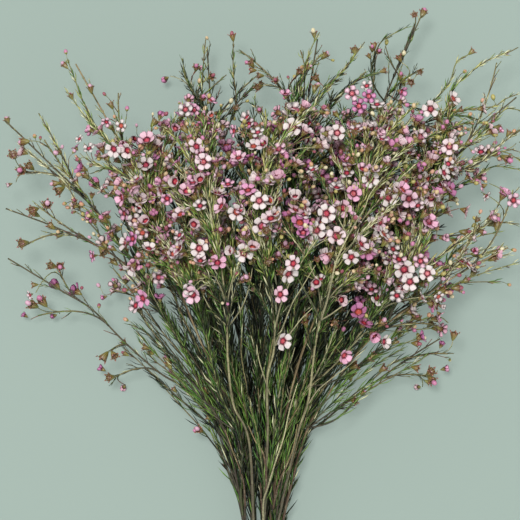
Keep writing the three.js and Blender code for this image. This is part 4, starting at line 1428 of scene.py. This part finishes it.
# %% Shader sums as Python sums
class Value:
    """A number in a material. Arithmetic on it adds Math nodes."""

    def __init__(self, finish, socket):
        self.finish = finish
        self.socket = socket

    def maths(self, operation, *others):
        """One Math node on this number and the others."""
        return self.finish.node("ShaderNodeMath", {"operation": operation}, self, *others)

    def __add__(self, other):
        return self.maths("ADD", other)

    __radd__ = __add__

    def __mul__(self, other):
        return self.maths("MULTIPLY", other)

    __rmul__ = __mul__

    def __sub__(self, other):
        return self.maths("SUBTRACT", other)

    def __rsub__(self, other):
        return self.finish.node("ShaderNodeMath", {"operation": "SUBTRACT"}, other, self)

    def smooth(self, low, high):
        """0 below low, 1 above high, and a smooth step between them."""
        settings = {"interpolation_type": "SMOOTHSTEP"}
        return self.finish.node("ShaderNodeMapRange", settings, self, low, high, 0.0, 1.0)


class Finish:
    """A material and the nodes that paint it."""

    def __init__(self, name, roughness, bump=0.0):
        self.material = bpy.data.materials.new(name)
        self.material.use_nodes = True
        self.tree = self.material.node_tree
        self.shader = self.tree.nodes["Principled BSDF"]
        self.shader.inputs["Roughness"].default_value = roughness
        self.bump_height = bump
        place = self.node("ShaderNodeUVMap", {"uv_map": MAP_NAME})
        apart = self.node("ShaderNodeSeparateXYZ", {}, place).socket.node
        self.u = Value(self, apart.outputs["X"])
        self.v = Value(self, apart.outputs["Y"])
        column = self.u * TINTS
        self.round = column.maths("FRACT")
        self.tint = column.maths("FLOOR") * (1 / TINTS) + 0.5 / TINTS

    def node(self, kind, settings, *values, **named):
        """Any node: its settings first, then its sockets by order or by name. Gives its first output."""
        made = self.tree.nodes.new(kind)
        for key, value in settings.items():
            setattr(made, key, value)
        sockets = [(made.inputs[i], value) for i, value in enumerate(values)]
        sockets += [(made.inputs[key.replace("_", " ")], value) for key, value in named.items()]
        for socket, value in sockets:
            if isinstance(value, Value):
                self.tree.links.new(value.socket, socket)
            else:
                socket.default_value = value
        return Value(self, made.outputs[0])

    def ramp(self, value, stops, steps=False):
        """A colour for each stretch of a value: stops are (place, colour)."""
        made = self.tree.nodes.new("ShaderNodeValToRGB")
        made.color_ramp.interpolation = "CONSTANT" if steps else "LINEAR"
        # A new ramp has two stops; the rest are added first, and then each gets its place in order.
        elements = made.color_ramp.elements
        while len(elements) < len(stops):
            elements.new(0.5)
        for element, (place, colour) in zip(elements, stops):
            element.position = place
            element.color = (*linear(colour), 1.0)
        self.tree.links.new(value.socket, made.inputs[0])
        return Value(self, made.outputs[0])

    def tints(self, colours):
        """One of eight colours by the copy's tint."""
        stops = [(k / TINTS, colour) for k, colour in enumerate(colours.split())]
        return self.ramp(self.tint, stops, steps=True)

    def mix(self, share, first, second, blend="MIX"):
        """Two colours mixed by a share."""
        made = self.tree.nodes.new("ShaderNodeMix")
        made.data_type = "RGBA"
        made.blend_type = blend
        for name, value in (("Factor_Float", share), ("A_Color", first), ("B_Color", second)):
            socket = next(s for s in made.inputs if s.identifier == name)
            if isinstance(value, Value):
                self.tree.links.new(value.socket, socket)
            elif isinstance(value, str):
                socket.default_value = (*linear(value), 1.0)
            else:
                socket.default_value = value
        return Value(self, next(s for s in made.outputs if s.identifier == "Result_Color"))

    def grain(self, across_scale, along_scale, detail=2.0):
        """Noise stretched by its own scales round and along the part, 0 to 1."""
        spot = self.node("ShaderNodeCombineXYZ", {}, self.u * across_scale, self.v * along_scale, 0.0)
        return self.node("ShaderNodeTexNoise", {}, Vector=spot, Scale=1.0, Detail=detail, Roughness=0.6)

    def finish(self, colour, roughness=None, height=None):
        """Feeds the shader with a colour and, where they vary, a roughness and a bump."""
        self.tree.links.new(colour.socket, self.shader.inputs["Base Color"])
        if roughness is not None:
            self.tree.links.new(roughness.socket, self.shader.inputs["Roughness"])
        if height is not None:
            bump = self.node("ShaderNodeBump", {}, Strength=1.0, Distance=self.bump_height, Height=height)
            self.tree.links.new(bump.socket, self.shader.inputs["Normal"])
        return self.material


def linear(colour):
    """A hexadecimal screen colour as linear red, green and blue. A channel up to 0.04045 is divided by
    12.92; above that, 0.055 is added, the sum divided by 1.055, and raised to the power of 2.4."""
    channels = np.array([int(colour[i : i + 2], 16) for i in (1, 3, 5)]) / 255
    return tuple(np.where(channels <= 0.04045, channels / 12.92, ((channels + 0.055) / 1.055) ** 2.4))


# %% Bark: tan to brown stems, greener twigs, pale cut ends
def bark_finish():
    """Tints 0 to 2 are stems, 3 and 4 sprays, 5 and 6 twigs, and 7 the cut wood."""
    f = Finish("waxflower_bark", 0.72, bump=0.25 * MM)
    old = f.tints("#2f271e #543d2e #574f3e #968e6e #383427 #414a29 #4f3327 #d9c79c")
    young = f.tints("#4f472f #927d58 #a0966f #c4bb90 #7c7046 #8c8c54 #8e5c48 #cdb98a")
    streaks = f.grain(90.0, 48.0, 4.0)
    patches = f.grain(16.0, 24.0)
    colour = f.mix((f.v + patches * 0.6 - 0.3).smooth(0.34, 0.7), old, young)
    colour = f.mix(streaks.smooth(0.48, 0.66) * 0.65, colour, "#483a2a")
    colour = f.mix(patches.smooth(0.55, 0.7) * 0.25, colour, "#bdb896")
    # Five dark lines along each limb: painted shade standing in for furrows in the bark.
    furrow_shade = (f.round * 5.0 + patches * 1.6).maths("FRACT").maths("PINGPONG", 0.5)
    colour = f.mix((1 - furrow_shade.smooth(0.08, 0.22)) * 0.5, colour, "#43382a")
    scars = (f.v * 46.0).maths("FRACT").maths("PINGPONG", 0.5).smooth(0.42, 0.5)
    colour = f.mix(scars * 0.5, colour, "#54412f")
    return f.finish(colour, 0.55 + streaks * 0.3, streaks + scars * 0.8)


# %% Needle leaves: dark glossy green, yellower at the foot, tan at the hook
def needle_finish():
    """From near black, painted shade for the deepest needles, to straw, with a pale foot, a lighter
    midrib line that is partly a painted highlight and a dry tip on the light ones.
    """
    f = Finish("waxflower_needle", 0.42, bump=0.05 * MM)
    # The tints run from near black, painted shade for the deepest needles, through lighter greens,
    # painted light for those on top, to straw.
    green = f.tints("#0a0f08 #11200d #213b14 #3d641f #648532 #969f50 #bbb370 #d4cea8")
    # A lighter line down each face: partly the real midrib and partly a painted highlight, strongest on
    # the light tints.
    groove_and_highlight = f.round.maths("PINGPONG", 0.5).smooth(0.3, 0.5)
    # lit rises with the tint number, which carries the painted light on top of the bunch and the painted
    # shade deep inside.
    lit = f.tint * 0.9 + 0.1
    colour = f.mix(groove_and_highlight * lit * 0.45, green, "#aab474")
    colour = f.mix((1 - f.v.smooth(0.0, 0.22)) * lit * 0.5, colour, "#a3a866")
    colour = f.mix(f.v.smooth(0.88, 1.0) * lit * 0.6, colour, "#95794c")
    mottle = f.grain(70.0, 12.0)
    colour = f.mix(mottle.smooth(0.5, 0.8) * 0.3, colour, "#24361b")
    return f.finish(colour, 0.36 + mottle * 0.2, groove_and_highlight)


# %% Petals: white to mauve, with veins, a darker claw and a pinker back
def petal_finish():
    """Front sheet below v = 0.5, back sheet above it; each runs from claw to tip."""
    f = Finish("waxflower_petal", 0.5, bump=0.06 * MM)
    pale = f.tints("#ccc1bf #d0bdc0 #d5b0bd #d6a4ba #cf91b2 #c27ea6 #ac6b91 #90557a")
    deep = f.tints("#cca9ad #c99ba6 #c8879e #c07297 #b5608e #a05083 #8a4470 #733a5e")
    reach = (f.v * 2.0).maths("FRACT")
    middle = f.round.maths("PINGPONG", 0.5) * 2.0
    margin = (1 - middle.smooth(0.0, 0.35)).maths("MAXIMUM", reach.smooth(0.82, 1.0))
    claw = 1 - reach.smooth(0.0, 0.42)
    streaks = f.node("ShaderNodeCombineXYZ", {}, f.u * 260.0, f.v * 9.0, 0.0)
    veins = f.node("ShaderNodeTexNoise", {}, Scale=1.0, Detail=1.0, Vector=streaks)
    blush = f.grain(40.0, 14.0)
    colour = f.mix(blush.smooth(0.42, 0.7) * 0.45, pale, deep)
    colour = f.mix(margin * 0.4, colour, deep)
    colour = f.mix(claw * 0.45, colour, "#c2586f")
    colour = f.mix(veins.smooth(0.55, 0.75) * 0.22, colour, deep)
    back = f.v.smooth(0.499, 0.501)
    colour = f.mix(back * 0.45, colour, deep)
    return f.finish(colour, 0.42 + veins * 0.2, veins)


# %% Cups, discs and stamens share one map, part by part along v
def cup_finish():
    """v gives the part: cup 0 to 0.4, sepals to 0.52, disc to 0.74, stamens to 0.88, style to 1."""
    f = Finish("waxflower_cup", 0.4, bump=0.08 * MM)
    cup = [(0.0, "#7b7f3c"), (0.12, "#6d6432"), (0.22, "#6d4c30"), (0.27, "#5c3828"), (0.38, "#5c2c35")]
    sepals = [(0.41, "#a07c69"), (0.46, "#7a4b42")]
    # The disc's pale pink middle is a painted highlight; from there it runs through red to a dark crimson
    # rim and underside.
    disc = [(0.53, "#d99f9e"), (0.55, "#c2525f"), (0.575, "#ac2a45"), (0.6, "#8b1b38"),
            (0.625, "#5e152a"), (0.74, "#450e1e")]
    stamens = [(0.755, "#ddb0b8"), (0.79, "#b86a7c"), (0.82, "#471020"), (0.89, "#2e0a14")]
    style = [(0.905, "#b03a4a"), (0.95, "#d98a84"), (0.985, "#f0d5b0")]
    part = f.ramp(f.v, cup + sepals + disc + stamens + style)
    shade = f.tints("#ffffff #f2e6da #ffe9d8 #e6f0c8 #ffd9d0 #f6e0e6 #e8d8b8 #d9c2ae")
    colour = f.mix(0.85, part, shade, "MULTIPLY")
    ribs = (f.round * 10.0).maths("FRACT").maths("PINGPONG", 0.5) * 2.0
    on_cup = 1 - f.v.smooth(0.39, 0.41)
    colour = f.mix(ribs.smooth(0.5, 0.95) * on_cup * 0.4, colour, "#a3a35a")
    dots = f.grain(150.0, 90.0)
    colour = f.mix(dots.smooth(0.6, 0.7) * on_cup * 0.4, colour, "#4d3423")
    warm = f.tint.smooth(0.87, 0.88) * f.v.smooth(0.53, 0.54) * (1 - f.v.smooth(0.74, 0.75))
    colour = f.mix(warm * 0.3, colour, "#d9683f")
    return f.finish(colour, 0.3 + dots * 0.2, ribs * on_cup + dots * 0.4)


# %% Buds: cream, peach and pink, green at the foot
def bud_finish():
    """Eight tip colours over a green foot, with the folded petals' edges as soft lines."""
    f = Finish("waxflower_bud", 0.45, bump=0.12 * MM)
    tip = f.tints("#d2c6a4 #c9ad86 #c09070 #aaa05f #bd769a #c79bb0 #8f4c5b #c2937c")
    folds = (f.round * 5.0 + f.v * 1.6).maths("FRACT").maths("PINGPONG", 0.5) * 2.0
    colour = f.mix(f.v.smooth(0.22, 0.46), "#7d7a38", tip)
    colour = f.mix((1 - folds.smooth(0.0, 0.3)) * f.v.smooth(0.3, 0.5) * 0.45, colour, "#9a4a4e")
    mottle = f.grain(60.0, 20.0)
    colour = f.mix(mottle.smooth(0.55, 0.8) * 0.35, colour, "#a86a4a")
    return f.finish(colour, 0.4 + mottle * 0.15, folds)


BARK, NEEDLE, PETAL, CUP, BUD_SKIN = (
    bark_finish(), needle_finish(), petal_finish(), cup_finish(), bud_finish())
print("finishes", [m.name for m in (BARK, NEEDLE, PETAL, CUP, BUD_SKIN)])

# %% [markdown]
# ## The wood of each stem
# A stem, its sprays, shoots, twigs and stalks grow together, so they make one piece of wood. Each
# limb starts inside the one that carries it, which hides the joint, and its radius wavers a little.

# %% Wood pieces
SIDES = {"stem": 8, "spray": 6, "pale": 6, "green": 6, "brown": 6, "thin": 5, "stray": 4}
FEWEST_SIDES = 3
DARK_BARK, TAN_BARK, PALE_BARK, PALE_SPRAY, DARK_SPRAY, GREEN_TWIG, RED_TWIG, CUT_WOOD = range(8)
WOOD_TINTS = {
    "thin": (DARK_BARK, DARK_SPRAY, GREEN_TWIG, TAN_BARK),
    "deep": (DARK_SPRAY, DARK_BARK),
    "fill": (DARK_SPRAY, GREEN_TWIG),
    "top fill": (DARK_SPRAY, GREEN_TWIG, PALE_SPRAY, TAN_BARK),
    "stray": (DARK_SPRAY, DARK_SPRAY, GREEN_TWIG),
    "twig": (GREEN_TWIG, RED_TWIG, DARK_SPRAY),
    "outer twig": (DARK_SPRAY, RED_TWIG, GREEN_TWIG),
    "stalk": (GREEN_TWIG, RED_TWIG, PALE_SPRAY),
    "pale": (PALE_SPRAY,),
    "green": (GREEN_TWIG,),
    "brown": (TAN_BARK,),
}
STEM_BARK = {"centre": PALE_BARK, "centre_left": PALE_BARK, "centre_right": PALE_BARK,
             "upper_right": TAN_BARK, "mid_right": PALE_BARK, "upper_left": TAN_BARK, "right": TAN_BARK}
WAVER = 0.06
WAVER_STEP = 1.7


def wood_of(part):
    """A tube in one of its kind's tints, its radius times 1 plus a small sine along the line. A stem's
    start shows cut wood."""
    line, radii = part["line"], part["radii"]
    waver = 1 + WAVER * np.sin(np.arange(len(line)) * WAVER_STEP + part["owner"])
    cut_tile = None
    name = STEM_NAMES[part["owner"]]
    if part["kind"] == "stem":
        tint = STEM_BARK.get(name, DARK_BARK)
        cut_tile = (CUT_WOOD - tint) / TILE_WIDTH
    elif part["kind"] == "spray":
        tint = PALE_SPRAY if name in OLD_WOOD else DARK_SPRAY
    else:
        tint = int(rng.choice(WOOD_TINTS[part["kind"]]))
    made = tube(line, radii * waver, SIDES.get(part["kind"], FEWEST_SIDES), cut_tile)
    return stamped(made, np.zeros((1, 3)), np.eye(3)[None], np.ones(1), np.array([tint]))


every_limb = (*stems, *thin_stems, *sprays, *deep, *filling, *strays, *fronts, *twigs)
for owner, name in enumerate(STEM_NAMES):
    parts = [wood_of(limb) for limb in every_limb if limb["owner"] == owner]
    piece = make_piece(f"stem_{name}_wood", parts, BARK)
    nodes = [f"stem_{name}"] + [f"spray_{name}_{k + 1}" for k in range(len(SPRAYS[name]))]
    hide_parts(*nodes)
print("wood", sum(triangles.values()), "triangles")

# %% Needle pieces
for owner, name in enumerate(STEM_NAMES):
    parts = []
    for shape, template in enumerate(NEEDLES):
        own = (leaf_owners == owner) & (leaf_shapes == shape)
        copies = (leaf_places[own], leaf_frames[own], leaf_sizes[own], leaf_tints[own])
        parts.append(stamped(template, *copies))
    make_piece(f"stem_{name}_needles", parts, NEEDLE)
print("with needles", sum(triangles.values()), "triangles")


# %% Heads by kind and stem, and the petals' tints
def heads_of(kind, owner):
    """One kind of head on one stem, with their places, turned frames and sizes."""
    own = [h for h in heads if h["kind"] == kind and h["owner"] == owner]
    places = np.array([h["place"] for h in own]).reshape(-1, 3)
    faces = np.array([h["face"] for h in own]).reshape(-1, 3)
    sizes = np.array([h["size"] for h in own]).reshape(-1) * MM
    return own, places, frames_on(faces, rng.uniform(0, 2 * np.pi, len(own))), sizes


def petal_tints(places, wide):
    """A flower is white with a chance of 0.62, a little more to the right, less in the mauve mass and
    more when wide open. Its tint is drawn round a middle for white or for pink, which is darker deep
    in the bunch as painted shade and, for pink, also darker outside the full outline."""
    east = np.clip((places[:, 0] - SHIFT[0]) / (150 * MM), -1, 1)
    white_chance = 0.62 + 0.06 * east - 0.06 * crowding(places) + 0.2 * wide
    white = rng.uniform(0, 1, len(places)) < white_chance
    # Painted shade: the deeper a flower lies in the bunch, the darker its tint.
    middle = np.where(white, 0.9, 3.3 + 0.6 * outside(places)) + 1.2 * (1 - depth_of(places))
    return np.clip(rng.normal(middle, np.where(white, 1.1, 1.4)), 0, TINTS - 1).astype(int)


# %% Flowers, bells and buds
# Flowers above this depth and size have the fine petals and the full middle.
NEAR = 0.9
SMALL_FLOWER = 0.78
PINK_BUD_TINTS = (4, 7)


def flowers_of(owner):
    """Petals and cups of one stem's flowers; the small and the deep ones are the plain kind."""
    own, places, frames, sizes = heads_of("flower", owner)
    stage = np.array([h["stage"] for h in own]) + len(STAGES) * rng.integers(0, MAKES, len(own))
    near = (depth_of(places) > NEAR) & (sizes > SMALL_FLOWER * MM)
    tints = petal_tints(places, np.array([h.get("wide", False) for h in own]))
    cup_tints = rng.integers(0, TINTS, len(places))
    petals, cups = [], []
    for corollas, middle, chosen in ((COROLLAS, MIDDLE, near), (SMALL_COROLLAS, SMALL_MIDDLE, ~near)):
        for k, corolla_shape in enumerate(corollas):
            here = chosen & (stage == k)
            petals.append(stamped(corolla_shape, places[here], frames[here], sizes[here], tints[here]))
        cups.append(stamped(middle, places[chosen], frames[chosen], sizes[chosen], cup_tints[chosen]))
    return petals, cups


for owner, name in enumerate(STEM_NAMES):
    petals, cups = flowers_of(owner)
    make_piece(f"stem_{name}_petals", petals, PETAL)
    _, places, frames, sizes = heads_of("bell", owner)
    cups.append(stamped(BELL, places, frames, sizes, rng.integers(0, TINTS, len(places))))
    make_piece(f"stem_{name}_cups", cups, CUP)
    own, places, frames, sizes = heads_of("bud", owner)
    if own:
        pink = np.array([h.get("pink", False) for h in own])
        tints = np.where(pink, rng.integers(*PINK_BUD_TINTS, len(own)), rng.integers(0, TINTS, len(own)))
        make_piece(f"stem_{name}_buds", [stamped(BUD, places, frames, sizes, tints)], BUD_SKIN)
print("all", sum(triangles.values()), "triangles, largest", max(triangles.values()))

# %% [markdown]
# ## The rubber band
# One long band is wound three times round the stems, so the turns lie side by side at slightly
# different angles. Each turn is a flat-sided tube that follows the round bundle.

# %% Band
BAND_TURNS = 3
BAND_PITCH = 2.5
BAND_WIDTH = 2.2
BAND_HALF_THICKNESS = 0.62
BAND_RADIUS = 13.3
BAND_LEAN = 0.9
BAND_UNEVENNESS = 0.18
BAND_STEPS = 72
BAND_SIDES = 8
SQUARENESS = 0.6


def band_turn(k):
    """A ring whose place along the bunch leans by a sine of its angle. Its section is a squarish
    loop: cosine and sine to a power below 1, each with its own sign."""
    angles = np.arange(BAND_STEPS) / BAND_STEPS * 2 * np.pi
    along_bunch = BAND_Y + (k - 1) * BAND_PITCH + BAND_LEAN * np.sin(angles + 2.1 * k)
    radius = BAND_RADIUS + BAND_UNEVENNESS * np.sin(3 * angles + k)
    outward = np.stack([np.cos(angles), 0 * angles, np.sin(angles)], -1)
    centre = np.stack([0 * angles, along_bunch, BUNDLE_HEIGHT + 0 * angles], -1)
    centre = centre + outward * radius[:, None]
    corner = (np.arange(BAND_SIDES) + 0.5) / BAND_SIDES * 2 * np.pi
    loop = np.stack([np.cos(corner), np.sin(corner)], -1)
    loop = np.sign(loop) * np.abs(loop) ** SQUARENESS
    ring = centre[:, None] + outward[:, None] * loop[None, :, :1] * BAND_HALF_THICKNESS
    ring = ring + np.array([0.0, 1.0, 0.0]) * loop[None, :, 1:] * BAND_WIDTH / 2
    i, j = np.meshgrid(np.arange(BAND_STEPS), np.arange(BAND_SIDES), indexing="ij")
    a, b = (i + 1) % BAND_STEPS, (j + 1) % BAND_SIDES
    quads = np.stack([i, a, a, i], -1) * BAND_SIDES + np.stack([j, j, b, b], -1)
    u0, u1 = i / BAND_STEPS, (i + 1) / BAND_STEPS
    v0, v1 = ((edge / BAND_SIDES + k) / BAND_TURNS for edge in (j, j + 1))
    quad_map = np.stack([np.stack(c, -1) for c in ((u0, v0), (u1, v0), (u1, v1), (u0, v1))], -2)
    return Template(placed(ring.reshape(-1, 3)), quads, quad_map, [], [])


def rubber_finish():
    """Tan rubber with a faint bloom and fine lines along the band."""
    f = Finish("rubber", 0.6, bump=0.05 * MM)
    dust = f.grain(30.0, 40.0, 3.0)
    rubber = f.ramp(f.v, [(0.0, "#b07a45"), (1.0, "#a8733f")])
    colour = f.mix(dust.smooth(0.4, 0.75) * 0.5, rubber, "#c99a68")
    return f.finish(colour, 0.5 + dust * 0.25, dust)


turns = [band_turn(k) for k in range(BAND_TURNS)]
band = make_piece("band", turns, rubber_finish())
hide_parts("tie_band")
print("band", triangles["band"], "triangles")

# %% [markdown]
# ## Floor, light and camera
# The bunch lies down, so the camera looks straight down on it, with the stems leading to the bottom
# edge. The floor is a plain pale sage. One soft light stands high over the bunch, two weak, very wide
# ones come in from the sides, and the sky fills the shadows, which stay deep between the stems.

# %% Floor
FLOOR_SIZE = 6.0
FLOOR_GLOW = 0.24


def floor_finish():
    """A plain matt surface that shines a little by itself, which keeps the shadows on it pale."""
    material = bpy.data.materials.new("floor")
    material.use_nodes = True
    shader = material.node_tree.nodes["Principled BSDF"]
    shader.inputs["Base Color"].default_value = (*linear("#636d67"), 1.0)
    shader.inputs["Emission Color"].default_value = (*linear("#e9fff5"), 1.0)
    shader.inputs["Emission Strength"].default_value = FLOOR_GLOW
    shader.inputs["Roughness"].default_value = 0.9
    return material


floor_mesh = bpy.data.meshes.new("floor")
half = FLOOR_SIZE / 2
floor_mesh.from_pydata([(-half, -half, 0), (half, -half, 0), (half, half, 0), (-half, half, 0)], [],
                       [(0, 1, 2, 3)])
floor_mesh.materials.append(floor_finish())
floor = bpy.data.objects.new("floor", floor_mesh)
bpy.context.scene.collection.objects.link(floor)

# %% Light
SKY = "#acbab3"
SKY_STRENGTH = 1.15

world = bpy.data.worlds.new("sky")
bpy.context.scene.world = world
world.use_nodes = True
background = world.node_tree.nodes["Background"]
background.inputs["Color"].default_value = (*linear(SKY), 1.0)
background.inputs["Strength"].default_value = SKY_STRENGTH


def sun(name, direction, angle, strength):
    """A distant light that shines along a direction, its shadows softened by an angle in degrees. Its
    own z axis points back along that direction."""
    data = bpy.data.lights.new(name, "SUN")
    data.angle = np.radians(angle)
    data.energy = strength
    lamp = bpy.data.objects.new(name, data)
    axis = -unit(np.array(direction, float))
    one, two = across(axis[None])
    turn = np.eye(4)
    turn[:3, 0], turn[:3, 1], turn[:3, 2] = one[0], two[0], axis
    lamp.matrix_world = turn.T.tolist()
    bpy.context.scene.collection.objects.link(lamp)


# Name, direction, softness in degrees and strength.
sun("key", (0.14, -0.2, -1), 14.0, 2.9)
sun("front_fill", (-0.7, 0.5, -0.5), 60.0, 0.8)
sun("back_fill", (0.6, -0.7, -0.5), 60.0, 0.6)

# %% Camera straight above, the bunch's axis up the view
SENSOR = 36.0
FARTHEST = 20.0

width = PICTURE * MM_PER_PIXEL
aim = placed((PICTURE_LEFT_X + width / 2, PICTURE_BOTTOM_Y + width / 2, FOCUS_HEIGHT))
camera_data = bpy.data.cameras.new("camera")
camera_data.sensor_width = SENSOR
camera_data.lens = SENSOR * CAMERA_DISTANCE / (width * MM)
camera_data.clip_end = FARTHEST
camera = bpy.data.objects.new("camera", camera_data)
camera.location = (aim[0], aim[1], aim[2] + CAMERA_DISTANCE)
bpy.context.scene.collection.objects.link(camera)
bpy.context.scene.camera = camera
bpy.context.scene.view_settings.view_transform = "Standard"
